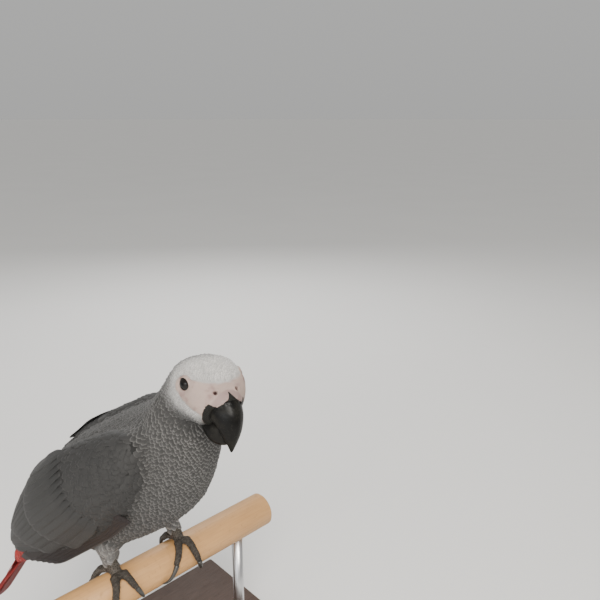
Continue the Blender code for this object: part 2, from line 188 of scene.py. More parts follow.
def as_piece(name, mesh, finish, slot, *replaced):
    """A finished piece at the origin, riding on the still model's one body."""
    piece = bpy.data.objects.new(name, mesh)
    bpy.context.scene.collection.objects.link(piece)
    if finish:
        mesh.materials.clear()
        mesh.materials.append(finish)
    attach(piece, "root")
    if replaced:
        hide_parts(*replaced)
    return piece


def refined(name, finish, slot, *nodes, levels=0, angle=40):
    """A smooth piece made from CAD nodes, with that many rounds of subdivision."""
    work = merged(*nodes)
    mesh = bpy.data.meshes.new(name)
    work.to_mesh(mesh)
    work.free()
    mesh.shade_smooth()
    mesh.set_sharp_from_angle(angle=radians(angle))
    if levels:
        mesh = evaluated(mesh, "SUBSURF", levels=levels, render_levels=levels)
    return as_piece(name, mesh, finish, slot, *nodes)


def evaluated(mesh, kind, **settings):
    """The mesh after one modifier, as a plain mesh."""
    holder = bpy.data.objects.new("holder", mesh)
    bpy.context.scene.collection.objects.link(holder)
    modifier = holder.modifiers.new("made", kind)
    for key, value in settings.items():
        setattr(modifier, key, value)
    ready = holder.evaluated_get(bpy.context.evaluated_depsgraph_get())
    made = bpy.data.meshes.new_from_object(ready)
    bpy.data.objects.remove(holder)
    return made


stained = Finish("stained_wood", Coat_Roughness=0.4, Specular_IOR_Level=0.3)
grain = stained.noise(180, 6, (6, 0.35, 6))
pores = stained.noise(900, 2, (4, 0.12, 4)).step(0.56, 0.7)
stained.feed(
    Base_Color=stained.mixed(grain * 0.8 + pores * 0.3, (0.075, 0.034, 0.017), (0.02, 0.009, 0.005)),
    Roughness=0.5 + grain * 0.16, Coat_Weight=0.08 - pores * 0.05,
    bump=grain * 0.2 - pores * 0.6, depth=0.08 * MM)
refined("plinth", stained.material, "stand_wood", "stand_base")

brushed = Finish("brushed_steel", Metallic=1.0)
rubs = brushed.noise(700, 4, (8, 8, 0.15))
brushed.feed(Base_Color=brushed.mixed(rubs, (0.5, 0.5, 0.51), (0.72, 0.72, 0.73)),
             Roughness=0.24 + rubs * 0.2, bump=rubs, depth=0.02 * MM)
for side in ("left", "right"):
    refined(f"rod_{side}", brushed.material, "stand_steel", f"stand_rod_{side}")

# --- The perch ----------------------------------------------------------------------------------------------
# A cut length of turned pale wood, worn smooth where claws hold it, with its stains and the scratches of the
# claws left in. It rests on the rods' cradled ends.
pale_wood = Finish("tan_wood", Coat_Weight=0.0)
fibre = pale_wood.noise(140, 5, (7, 0.3, 7))
stains = pale_wood.noise(26, 3, (1, 0.35, 1)).step(0.5, 0.75)
scratches = pale_wood.noise(420, 2, (0.5, 5, 0.5)).step(0.66, 0.72)
clean_wood = pale_wood.mixed(fibre, (0.68, 0.39, 0.16), (0.5, 0.26, 0.095))
pale_wood.feed(
    Base_Color=pale_wood.mixed(stains * 0.5 + scratches * 0.3, clean_wood, (0.3, 0.16, 0.075)),
    Roughness=0.42 + fibre * 0.2, bump=fibre * 0.5 - scratches, depth=0.15 * MM)
refined("pole", pale_wood.material, "perch_wood", "perch", angle=50)

# --- The skin -----------------------------------------------------------------------------------------------
# One skin over all of the bird's flesh, from the cere to the ends of the toes. It lies under the feathers by
# their depth, and is bare round the eyes, on the cere and on the shanks and toes, where it is scaly.
# The black corners beside the bill are part of it.
SIDES = {"left": 1, "right": -1}
TOE_KINDS = ("inner_front", "outer_front", "inner_back", "outer_back")
TOES = [f"{toe_kind}_{side}" for side in SIDES for toe_kind in TOE_KINDS]
FEET = [f"toe_{toe}" for toe in TOES] + [f"shank_{side}" for side in SIDES]
THIGHS = [f"thigh_{side}" for side in SIDES]
WINGS = [f"wing_{side}" for side in SIDES]
FLESH = ["cere", "head", "neck", "trunk", "rump"] + WINGS + THIGHS + FEET


def corners(*names):
    """The corners of CAD nodes as rows of numbers."""
    return np.concatenate([[v.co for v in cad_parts[name].data.vertices] for name in names])


def middle(name):
    low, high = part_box(name)
    return np.array((low + high) / 2)


def unit(vectors):
    return vectors / np.maximum(np.linalg.norm(vectors, axis=-1, keepdims=True), 1e-12)


def smooth(low, high, values):
    t = np.clip((values - low) / (high - low), 0, 1)
    return t * t * (3 - 2 * t)


# The head's own axes, from the eyes.
HEAD_PITCH = radians(-9)
eyes = {side: middle(f"eye_{side}") for side in SIDES}
eye_radius = (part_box("eye_left")[1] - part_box("eye_left")[0]).z / 2
head_left = unit(eyes["left"] - eyes["right"])
level = unit(np.cross(head_left, (0, 0, 1)))
head_forward = level * cos(HEAD_PITCH) + np.cross(level, head_left) * sin(HEAD_PITCH)
head_up = np.cross(head_forward, head_left)
between_eyes = (eyes["left"] + eyes["right"]) / 2


def in_head(points):
    """Millimetres forward, left and up of the middle between the eyes."""
    return (points - between_eyes) @ np.array([head_forward, head_left, head_up]).T / MM


def head_place(forward, left, up):
    return between_eyes + (head_forward * forward + head_left * left + head_up * up) * MM


# The line down the middle of the body, from the face to the root of the tail.
trunk_points = corners("trunk", "rump")
trunk_axis = unit(middle("rump") - middle("neck"))
along_trunk = trunk_points @ trunk_axis
slabs = np.linspace(along_trunk.min(), along_trunk.max(), 8)
trunk_line = []
for low, high in zip(slabs, slabs[1:]):
    slab = trunk_points[(along_trunk >= low) & (along_trunk <= high)]
    trunk_line.append((slab.min(0) + slab.max(0)) / 2)
head_line = [head_place(19, 0, -8), head_place(11, 0, -8.5), head_place(1, 0, -9.5), head_place(-9, 0, -13)]
knots = np.array(head_line + [middle("neck")] + trunk_line)
knots[1:-1] = (knots[:-2] + 2 * knots[1:-1] + knots[2:]) / 4
LINE_STEPS = 160
reach = np.concatenate([[0], np.cumsum(np.linalg.norm(np.diff(knots, axis=0), axis=1))])
line_at = np.linspace(0, reach[-1], LINE_STEPS)
line = np.stack([np.interp(line_at, reach, knots[:, i]) for i in range(3)], axis=1)
for _ in range(12):
    line[1:-1] = (line[:-2] + 2 * line[1:-1] + line[2:]) / 4
run = unit(np.gradient(line, axis=0))
body_left = unit(middle("wing_left") - middle("wing_right"))
turned = smooth(0, 0.45, np.linspace(0, 1, LINE_STEPS))[:, None]
line_left = head_left * (1 - turned) + body_left * turned
line_left = unit(line_left - run * (line_left * run).sum(1, keepdims=True))
line_up = np.cross(line_left, run)
line_up *= np.sign(line_up[:, 2:] + 1e-9)


def on_line(points):
    """How far down the line each point is, 0 to 1, and its angle from the back towards the left."""
    nearest = np.empty(len(points), int)
    for start in range(0, len(points), 20000):
        part = points[start:start + 20000]
        apart = (part ** 2).sum(1)[:, None] - 2 * part @ line.T + (line ** 2).sum(1)
        nearest[start:start + 20000] = apart.argmin(1)
    out = points - line[nearest]
    beyond = (out * run[nearest]).sum(1) / (reach[-1] / (LINE_STEPS - 1))
    down = (nearest + np.clip(beyond, -0.5, 0.5)) / (LINE_STEPS - 1)
    angle = np.arctan2((out * line_left[nearest]).sum(1), (out * line_up[nearest]).sum(1))
    return down, angle, nearest


# Millimetres that the feet, the other flesh and the wings' inner faces gain before all are joined.
FEET_SWELL, FLESH_SWELL, UNDER_WING = 0.5, 0.3, 3.2


def closed_flesh():
    """All the flesh and the eyes as one mesh, with the thin cuts between the pieces filled."""
    whole = bmesh.new()
    for name in FLESH + ["eye_left", "eye_right"]:
        work = merged(name)
        work.normal_update()
        places = np.array([v.co for v in work.verts])
        normals = np.array([v.normal for v in work.verts])
        lift = np.full(len(places), (FEET_SWELL if name in FEET else FLESH_SWELL) * MM)
        if name in WINGS:
            nearest = on_line(places)[2]
            lift[((places - line[nearest]) * normals).sum(1) < 0] = UNDER_WING * MM
        for v, place in zip(work.verts, places + normals * lift[:, None]):
            v.co = place
        moved = bpy.data.meshes.new("moved")
        work.to_mesh(moved)
        work.free()
        whole.from_mesh(moved)
    mesh = bpy.data.meshes.new("flesh")
    whole.to_mesh(mesh)
    whole.free()
    return evaluated(mesh, "REMESH", mode="VOXEL", voxel_size=1.5 * MM)


work = bmesh.new()
work.from_mesh(closed_flesh())
# Only the outer surface stays.
seen = set()
largest = []
for start in work.verts:
    if start in seen:
        continue
    island = [start]
    seen.add(start)
    for v in island:
        for edge in v.link_edges:
            other = edge.other_vert(v)
            if other not in seen:
                seen.add(other)
                island.append(other)
    if len(island) > len(largest):
        largest = island
kept = set(largest)
bmesh.ops.delete(work, geom=[v for v in work.verts if v not in kept], context="VERTS")
for _ in range(3):
    bmesh.ops.smooth_vert(work, verts=work.verts, factor=0.5,
                          use_axis_x=True, use_axis_y=True, use_axis_z=True)
# Finer round the eyes, on the cere and on the feet.
owners = []
reference = bmesh.new()
for name in FLESH:
    reference.from_mesh(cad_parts[name].data)
    owners += [name] * (len(reference.faces) - len(owners))
flesh_tree = BVHTree.FromBMesh(reference)
reference.free()


def owner_of(place):
    return owners[flesh_tree.find_nearest(place)[2]]


eye_centres = [Vector(eye) for eye in eyes.values()]
cere_centre = Vector(middle("cere"))
foot_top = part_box("shank_left")[1].z
for near in (2.0, 1.5):
    fine = set()
    for v in work.verts:
        at_eye = min((v.co - centre).length for centre in eye_centres) < eye_radius * near
        at_cere = (v.co - cere_centre).length < 6 * near * MM
        if at_eye or at_cere or (v.co.z < foot_top and owner_of(v.co) in FEET):
            fine.add(v)
    edges = [e for e in work.edges if e.verts[0] in fine and e.verts[1] in fine]
    bmesh.ops.subdivide_edges(work, edges=edges, cuts=1, use_grid_fill=True)
bmesh.ops.triangulate(work, faces=[f for f in work.faces if len(f.verts) > 4])
work.verts.index_update()
skin_mesh = bpy.data.meshes.new("skin")
work.to_mesh(skin_mesh)
work.free()

count = len(skin_mesh.vertices)
places = np.empty(count * 3)
skin_mesh.vertices.foreach_get("co", places)
places = places.reshape(-1, 3)
links = np.empty(len(skin_mesh.edges) * 2, int)
skin_mesh.edges.foreach_get("vertices", links)
links = links.reshape(-1, 2)
neighbours = np.bincount(links.ravel(), minlength=count).astype(float)


def spread(values, rounds):
    """The values averaged over the skin's neighbouring points, that many times."""
    values = values.astype(float)
    wide = values if values.ndim > 1 else values[:, None]
    for _ in range(rounds):
        total = np.stack([np.bincount(links[:, 0], wide[links[:, 1], i], count)
                          + np.bincount(links[:, 1], wide[links[:, 0], i], count)
                          for i in range(wide.shape[1])], axis=1)
        wide = wide * 0.5 + 0.5 * total / neighbours[:, None]
    return wide if values.ndim > 1 else wide[:, 0]


owner = np.array([owner_of(place) for place in places])
is_foot = spread(np.isin(owner, FEET), 3)
is_thigh = spread(np.isin(owner, THIGHS), 6)
is_wing = spread(np.isin(owner, WINGS), 3)
is_cere = spread(owner == "cere", 2)
places = places + (spread(places, 14) - places) * (1 - 0.85 * is_foot)[:, None]
down, angle, nearest = on_line(places)
head_mm = in_head(places)


def place_skin():
    """Puts the skin's points in its mesh, and gives the normals there."""
    skin_mesh.vertices.foreach_set("co", places.ravel())
    skin_mesh.update()
    found = np.empty(count * 3)
    skin_mesh.vertices.foreach_get("normal", found)
    return found.reshape(-1, 3)


# The bare patch of the face runs from round the eye to the corner of the bill and down beside it, and to the
# nostrils. Each part goes from one place to another, forward of and above the eye, and has a radius and what
# that gains.
PATCHES = (((0, 0), (13.5, -6), 6.4, -0.2),
           ((0, 0), (16, 0.5), 6.3, -1.4),
           ((13.5, -6), (18, -12.5), 5.2, -2.4))
beside = smooth(3, 6, np.abs(head_mm[:, 1])) * smooth(-14, -10, head_mm[:, 0])
from_face = np.full(count, 99.0)
for start, end, patch_radius, gained in PATCHES:
    reach_over = np.subtract(end, start)
    from_start = head_mm[:, [0, 2]] - start
    share = np.clip(from_start @ reach_over / (reach_over @ reach_over), 0, 1)
    apart = np.linalg.norm(from_start - share[:, None] * reach_over, axis=1)
    from_face = np.minimum(from_face, apart - patch_radius - gained * share)
face = smooth(0.6, -0.6, from_face) * beside
CERE_MIDDLE, CERE_REACH = (21, 0, -3), 10.6
from_cere = np.linalg.norm((head_mm - CERE_MIDDLE) * (1, 0.75, 1), axis=1) - CERE_REACH
on_cere = smooth(0.6, -0.6, from_cere) * (head_mm[:, 2] > -9)


def horn_share(points_in_head):
    """Where the bill's black horn shows: a wedge up between the nostrils, and a corner on each side of it."""
    forward, sideways, above = points_in_head.T
    sideways = np.abs(sideways)
    wedge = smooth(-0.45, 0.45, 0.7 + 1.05 * (1.4 - above) - sideways) * smooth(19, 20, forward)
    below = smooth(0.5, -0.5, above + 4.2 + 0.39 * (forward - 17.3))
    back_edge = 15.6 + 0.2 * (above + 17.6) + 0.05 * np.maximum(above + 8, 0) ** 2
    in_front = smooth(-0.5, 0.5, forward - back_edge) * smooth(-24.5, -23.5, above)
    return np.maximum(wedge, below * in_front * smooth(5, 7, sideways))


horn = horn_share(head_mm)
in_face = (nearest < LINE_STEPS // 4) & (head_mm[:, 0] > 0)
bare = np.maximum.reduce([np.clip(is_foot * 1.6, 0, 1), np.clip(is_cere * 1.6, 0, 1), face, on_cere * in_face,
                          horn * in_face])
past_neck = on_line(middle("neck")[None])[0][0]

# The coat's depth in millimetres, over the whole body.
HEAD_COAT, BODY_GAIN, WING_COAT, THIGH_COAT = 0.8, 1.5, 1.3, 1.5
coat = HEAD_COAT + BODY_GAIN * smooth(0.16, past_neck + 0.08, down)
coat = coat * (1 - is_wing) + WING_COAT * is_wing
coat = coat * (1 - is_thigh) + THIGH_COAT * is_thigh
coat = spread(coat * (1 - bare), 3)
normals = place_skin()
HORN_CORNER = 0.2
raised = spread(horn * in_face, 2) * HORN_CORNER - FLESH_SWELL - coat
places = places + normals * (raised * MM)[:, None]

# Lids: thick soft rims that meet the eyeball, with a fold round them.
LID_OPENING = radians(50)
LID_RIM = radians(14)
gazes = {side: unit(head_left * sign + head_forward * 0.2) for side, sign in SIDES.items()}
for side in SIDES:
    out = places - eyes[side]
    far = np.linalg.norm(out, axis=1)
    way = out / far[:, None]
    facing = way @ gazes[side]
    turn = np.arccos(np.clip(facing, -1, 1))
    across = unit(way - gazes[side] * facing[:, None])
    hold = smooth(eye_radius * 1.7, eye_radius * 1.2, far) * smooth(radians(100), radians(80), turn)
    brim = np.exp(-((turn - LID_OPENING - LID_RIM * 0.6) / LID_RIM) ** 2)
    fold = np.exp(-((turn - LID_OPENING - LID_RIM * 2.1) / (LID_RIM * 0.45)) ** 2)
    height = eye_radius + (0.22 + 0.34 * brim - 0.22 * fold) * MM
    height = np.where(turn < LID_OPENING - LID_RIM * 0.5, eye_radius - 1.3 * MM, height)
    on_rim = (turn > LID_OPENING - LID_RIM * 0.5) & (turn < LID_OPENING)
    height = np.where(on_rim, eye_radius + 0.08 * MM, height)
    rim_way = gazes[side] * cos(LID_OPENING) + across * sin(LID_OPENING)
    way = np.where(on_rim[:, None], rim_way, way)
    lid = eyes[side] + way * height[:, None]
    places = places + (lid - places) * hold[:, None]

# Nostrils: round holes with swollen rims, on the cere on each side of the bill's ridge.
NOSTRIL = (16.8, 6.9, 0.2)
NOSTRIL_RADIUS = 1.25
normals = place_skin()
nostril = np.zeros(count)
for sign in SIDES.values():
    aim = head_place(NOSTRIL[0], NOSTRIL[1] * sign, NOSTRIL[2])
    centre = places[np.linalg.norm(places - aim, axis=1).argmin()]
    far = np.linalg.norm(places - centre, axis=1) / MM
    rim = np.exp(-((far - NOSTRIL_RADIUS - 0.75) / 0.6) ** 2)
    hole = smooth(NOSTRIL_RADIUS + 0.25, NOSTRIL_RADIUS - 0.35, far)
    swollen = np.exp(-(far / 3.6) ** 2)
    places = places + normals * ((0.32 * rim + 0.45 * swollen - 1.9 * hole) * MM)[:, None]
    nostril = np.maximum(nostril, hole)

# Scutes: plates across the tops of the toes, and small round scales on the shanks.
SCUTE = 2.3  # millimetres from plate to plate
pole = middle("perch")
from_pole = places - pole
radius = np.hypot(from_pole[:, 0], from_pole[:, 2])
round_pole = np.arctan2(from_pole[:, 0], from_pole[:, 2]) * radius / MM
top_side = np.clip((normals * from_pole * (1, 0, 1)).sum(1) / np.maximum(radius, 1e-6), 0, 1)
plate = np.abs(np.sin(pi * round_pole / SCUTE)) ** 0.45
toe_part = is_foot * spread(np.isin(owner, [f"toe_{toe}" for toe in TOES]), 2) * smooth(0.1, 0.6, top_side)
places = places + normals * (toe_part * (0.4 * plate - 0.2) * MM)[:, None]
normals = place_skin()

# The markings, which skin and feathers share: the grey of a feather, the grey of its edge, and how red it is.
forward, _, above = head_mm.T
belly = smooth(0.2, -0.7, np.cos(angle))
white = smooth(-22, 4, forward) * smooth(past_neck - 0.02, 0.12, down) * smooth(-24, -9, above)
dark_back = (1 - belly) * smooth(0.2, 0.4, down)
shade = 0.05 + 0.5 * white + 0.06 * belly * smooth(0.5, 0.85, down) - 0.014 * dark_back
edge = 0.15 + 0.55 * white + 0.1 * belly * smooth(0.5, 0.8, down) - 0.075 * dark_back
rim_of_face = smooth(11, 0, from_face) * beside * smooth(0.3, 0.2, down)
rim_of_face = rim_of_face * (0.25 + 0.75 * smooth(-20, -12, above))
shade = shade + (0.5 - shade) * rim_of_face
edge = np.maximum(edge + (0.66 - edge) * rim_of_face, shade * 1.25)
wing_grey = 0.021 - 0.005 * smooth(0.4, 0.95, down)
shade = shade * (1 - is_wing) + wing_grey * is_wing
edge = edge * (1 - is_wing) + 0.036 * is_wing
shade = shade * (1 - is_thigh) + 0.16 * is_thigh
edge = edge * (1 - is_thigh) + 0.32 * is_thigh
red = smooth(0.915, 0.945, down) * (1 - is_wing) * (1 - is_thigh)

keeps = {"shade": shade, "edge": edge, "red": red, "bare": bare, "scaly": is_foot, "cere": is_cere,
         "hole": nostril, "horn": horn * in_face, "plate": plate * toe_part}
for name, values in keeps.items():
    skin_mesh.attributes.new(name, "FLOAT", "POINT").data.foreach_set("value", np.clip(values, 0, 1))

hide = Finish("skin", Subsurface_Weight=0.08, Subsurface_Radius=(0.004, 0.002, 0.0015), Subsurface_Scale=1.0,
              Specular_IOR_Level=0.2)
mottle = hide.noise(420, 4)
veins = hide.noise(150, 3).step(0.5, 0.72)
creases = hide.cells(1500.0)
scales = hide.cells(620.0)
gaps = 1 - scales.step(0.02, 0.16)
scaly, is_bare, waxy = hide.kept("scaly"), hide.kept("bare"), hide.kept("cere")
face_colour = hide.mixed(veins * 0.6 + mottle * 0.3, (0.46, 0.36, 0.31), (0.28, 0.175, 0.165))
face_colour = hide.mixed(waxy * 0.7, face_colour, (0.31, 0.215, 0.205))
foot_colour = hide.mixed(mottle.step(0.3, 0.8), (0.034, 0.029, 0.024), (0.068, 0.058, 0.047))
between_plates = 1 - hide.kept("plate").step(0.25, 0.75)
foot_colour = hide.mixed(between_plates * gaps * 0.75, foot_colour, (0.15, 0.13, 0.11))
under = hide.node("ShaderNodeVectorMath", {"operation": "SCALE"}, (0.9, 0.88, 0.85), Scale=hide.kept("shade"))
under = hide.mixed(hide.kept("red"), under, (0.25, 0.012, 0.01))
colour = hide.mixed(is_bare, under, hide.mixed(scaly.step(0.04, 0.2), face_colour, foot_colour))
horn_corner = hide.mixed(mottle, (0.004, 0.0038, 0.0034), (0.02, 0.019, 0.016))
colour = hide.mixed(hide.kept("horn").step(0.35, 0.65), colour, horn_corner)
colour = hide.mixed(hide.kept("hole"), colour, (0.035, 0.015, 0.015))
hide.feed(Base_Color=colour, Roughness=0.62 - scaly * 0.1 - hide.kept("horn") * 0.2 + mottle * 0.1,
          bump=creases.step(0.0, 0.12) * (1 - scaly) * 0.35 + mottle * 0.25 - gaps * scaly, depth=0.22 * MM)
skin_mesh.shade_smooth()
as_piece("skin", skin_mesh, hide.material, "bare_skin", *FLESH)

# --- The eyes -----------------------------------------------------------------------------------------------
# Dark wet eyes, as a young bird has: a near-black iris round a black pupil, under a clear bulging cornea.
PUPIL = radians(19)
IRIS = radians(43)


def eyeball(side):
    work = bmesh.new()
    bmesh.ops.create_uvsphere(work, u_segments=64, v_segments=48, radius=1)
    gaze = Vector(gazes[side])
    turn = Vector((0, 0, 1)).rotation_difference(gaze).to_matrix()
    mesh = bpy.data.meshes.new(f"eyeball_{side}")
    for v in work.verts:
        bulge = 1 + 0.035 * max(0.0, v.co.z - cos(IRIS)) / (1 - cos(IRIS))
        v.co = Vector(eyes[side]) + turn @ v.co * (eye_radius * bulge)
    work.to_mesh(mesh)
    work.free()
    facing = [(v.co - Vector(eyes[side])).normalized() @ gaze for v in mesh.vertices]
    mesh.attributes.new("facing", "FLOAT", "POINT").data.foreach_set("value", facing)
    mesh.shade_smooth()
    return mesh


wet = Finish("wet_eye", Roughness=0.04, Coat_Weight=0.1, Coat_Roughness=0.02, Specular_IOR_Level=0.22)
facing = wet.kept("facing")
streaks = wet.noise(900, 4)
iris = wet.mixed(streaks, (0.01, 0.0075, 0.006), (0.004, 0.003, 0.0025))
ball_colour = wet.mixed(facing.step(cos(IRIS) - 0.02, cos(IRIS) + 0.01), (0.006, 0.0045, 0.004), iris)
in_pupil = facing.step(cos(PUPIL) - 0.01, cos(PUPIL) + 0.005)
wet.feed(Base_Color=wet.mixed(in_pupil, ball_colour, (0.003, 0.003, 0.003)))
for side in SIDES:
    as_piece(f"eyeball_{side}", eyeball(side), wet.material, "eye", f"eye_{side}")

# --- The bill and claws -------------------------------------------------------------------------------------
# Black horn that grows in thin layers: the bill is dusty, with growth ridges along it and chips at its edges,
# and the claws are the same horn, more polished, out of the ends of the toes.
black_horn = Finish("black_horn", Coat_Roughness=0.3, Specular_IOR_Level=0.12)
layers = black_horn.noise(260, 5, (1.4, 5, 1))
dust = black_horn.noise(120, 4).step(0.42, 0.75)
chips = black_horn.noise(900, 2).step(0.62, 0.7)
soft_base = black_horn.kept("waxy").step(0.35, 0.65)
horn_colour = black_horn.mixed(dust * 0.4 + chips * 0.25, (0.0035, 0.0032, 0.0028), (0.04, 0.037, 0.03))
cere_colour = black_horn.mixed(black_horn.noise(420, 4) * 0.6, (0.39, 0.3, 0.27), (0.29, 0.2, 0.19))
black_horn.feed(
    Base_Color=black_horn.mixed(soft_base, horn_colour, cere_colour),
    Roughness=0.38 + dust * 0.2 + soft_base * 0.2, Coat_Weight=(0.12 - dust * 0.1) * (1 - soft_base),
    bump=layers * 0.8 - chips * 0.5, depth=0.16 * MM)
skin_work = bmesh.new()
skin_work.from_mesh(skin_mesh)
skin_tree = BVHTree.FromBMesh(skin_work)
skin_work.free()
BED = 1.6 * MM  # how far the bill's root sinks into the skin, so that no gap shows round it
BED_NEAR, BED_FAR = 0.9 * MM, 2.4 * MM
for half, levels in (("bill_upper", 3), ("bill_lower", 2)):
    sheath = refined(f"horn_{half}", black_horn.material, "horn", half, levels=levels, angle=75)
    for v in sheath.data.vertices:
        nearest_place, nearest_normal, _, far = skin_tree.find_nearest(v.co)
        if (v.co - nearest_place).dot(nearest_normal) > 0:
            v.co -= nearest_normal * (BED * float(smooth(BED_FAR, BED_NEAR, far)))
    sheath.data.update()
    from_base = in_head(np.array([v.co for v in sheath.data.vertices]))
    waxy = (1 - horn_share(from_base)) * smooth(-8, -6, from_base[:, 2]) * (half == "bill_upper")
    sheath.data.attributes.new("waxy", "FLOAT", "POINT").data.foreach_set("value", waxy)

CLAW_INSIDE = 1.16
claw_horn = Finish("claw_horn", Coat_Roughness=0.2)
wear = claw_horn.noise(500, 4)
claw_horn.feed(Base_Color=claw_horn.mixed(wear, (0.012, 0.012, 0.011), (0.06, 0.056, 0.048)),
               Roughness=0.28 + wear * 0.25, Coat_Weight=0.3 - wear * 0.15, bump=wear, depth=0.08 * MM)
for toe in TOES:
    nail = refined(f"nail_{toe}", claw_horn.material, "horn", f"claw_{toe}", levels=1, angle=75)
    # The claw grows from inside the toe's end, so it is a little larger than its bare length, from its tip.
    tip = min(nail.data.vertices, key=lambda v: v.co.z).co.copy()
    nail.data.transform(Matrix.Translation(tip) @ Matrix.Scale(CLAW_INSIDE, 4) @ Matrix.Translation(-tip))

# --- The body feathers --------------------------------------------------------------------------------------
# Small soft vanes in staggered rows, each rooted in the skin and lying back over the next, from the tiny ones
# of the face to the broad ones of the back. Their edges are paler than their middles.


def shell(rows, columns, start=0, flip=False):
    """The faces of a thin closed shell: a grid of points for its top and then one for its underside."""
    top = start + np.arange((rows + 1) * (columns + 1)).reshape(rows + 1, columns + 1)
    under = top + top.size
    faces = []
    for i in range(rows):
        for j in range(columns):
            faces.append((top[i, j], top[i + 1, j], top[i + 1, j + 1], top[i, j + 1]))
            faces.append((under[i, j], under[i, j + 1], under[i + 1, j + 1], under[i + 1, j]))
        faces.append((top[i, 0], under[i, 0], under[i + 1, 0], top[i + 1, 0]))
        faces.append((top[i, -1], top[i + 1, -1], under[i + 1, -1], under[i, -1]))
    for j in range(columns):
        faces.append((top[0, j], top[0, j + 1], under[0, j + 1], under[0, j]))
        faces.append((top[-1, j + 1], top[-1, j], under[-1, j], under[-1, j + 1]))
    return [face[::-1] for face in faces] if flip else faces


def kept_mesh(name, places, faces, vectors, numbers):
    """A smooth mesh that keeps these vectors and numbers at its points."""
    mesh = bpy.data.meshes.new(name)
    mesh.from_pydata(places.tolist(), [], faces)
    for kind, slot_name, stock in (("FLOAT_VECTOR", "vector", vectors), ("FLOAT", "value", numbers)):
        for key, values in stock.items():
            mesh.attributes.new(key, kind, "POINT").data.foreach_set(slot_name, np.ravel(values))
    mesh.shade_smooth()
    return mesh


def vane(name, rows, columns, width, tip, thick, droop=0.04, cup=0.22, ragged=0.0):
    """One feather a unit long, root at the origin, tip along X: a thin closed shell that cups and droops."""
    x, y = np.meshgrid(np.linspace(0, 1, rows + 1), np.linspace(-1, 1, columns + 1), indexing="ij")
    opening = 0.3 + 0.7 * smooth(0, 0.42, x)
    closing = np.sqrt(1 - (np.maximum(0, x - tip) / (1.03 - tip)) ** 2)
    half = width / 2 * opening * closing
    nick = ragged * np.sin(37 * x + 18.2 * y) * ((np.abs(y) == 1) | (x == 1))
    crest = 0.012 * (np.abs(y) < 0.01) * (1 - x)
    height = crest - cup * half * y * y - droop * x * x
    margin = np.where(x == 1, 1, np.maximum(np.abs(y), (x - 0.72) / 0.28))
    sheets = []
    for under in (0, 1):
        place = np.stack([x - 0.05 * y * y * (x > tip) + nick, y * half * (1 - nick),
                          height - under * thick * (1.15 - 0.7 * np.abs(y))], axis=-1)
        inset = 1 - 0.18 * under
        patch_across = 0.5 + y / 2 * inset * (0.25 + 0.75 * closing)
        patch = np.stack([0.5 + (x - 0.5) * inset, patch_across, 0 * x], axis=-1)
        sheets.append([part.reshape(-1, 3) for part in (place, np.stack([x, y, margin], axis=-1), patch)])
    place, along, patch = (np.concatenate(pair) for pair in zip(*sheets))
    mesh = kept_mesh(name, place, shell(rows, columns), {"vane": along, "patch": patch}, {})
    made = bpy.data.objects.new(name, mesh)
    bpy.context.scene.collection.objects.link(made)
    return made


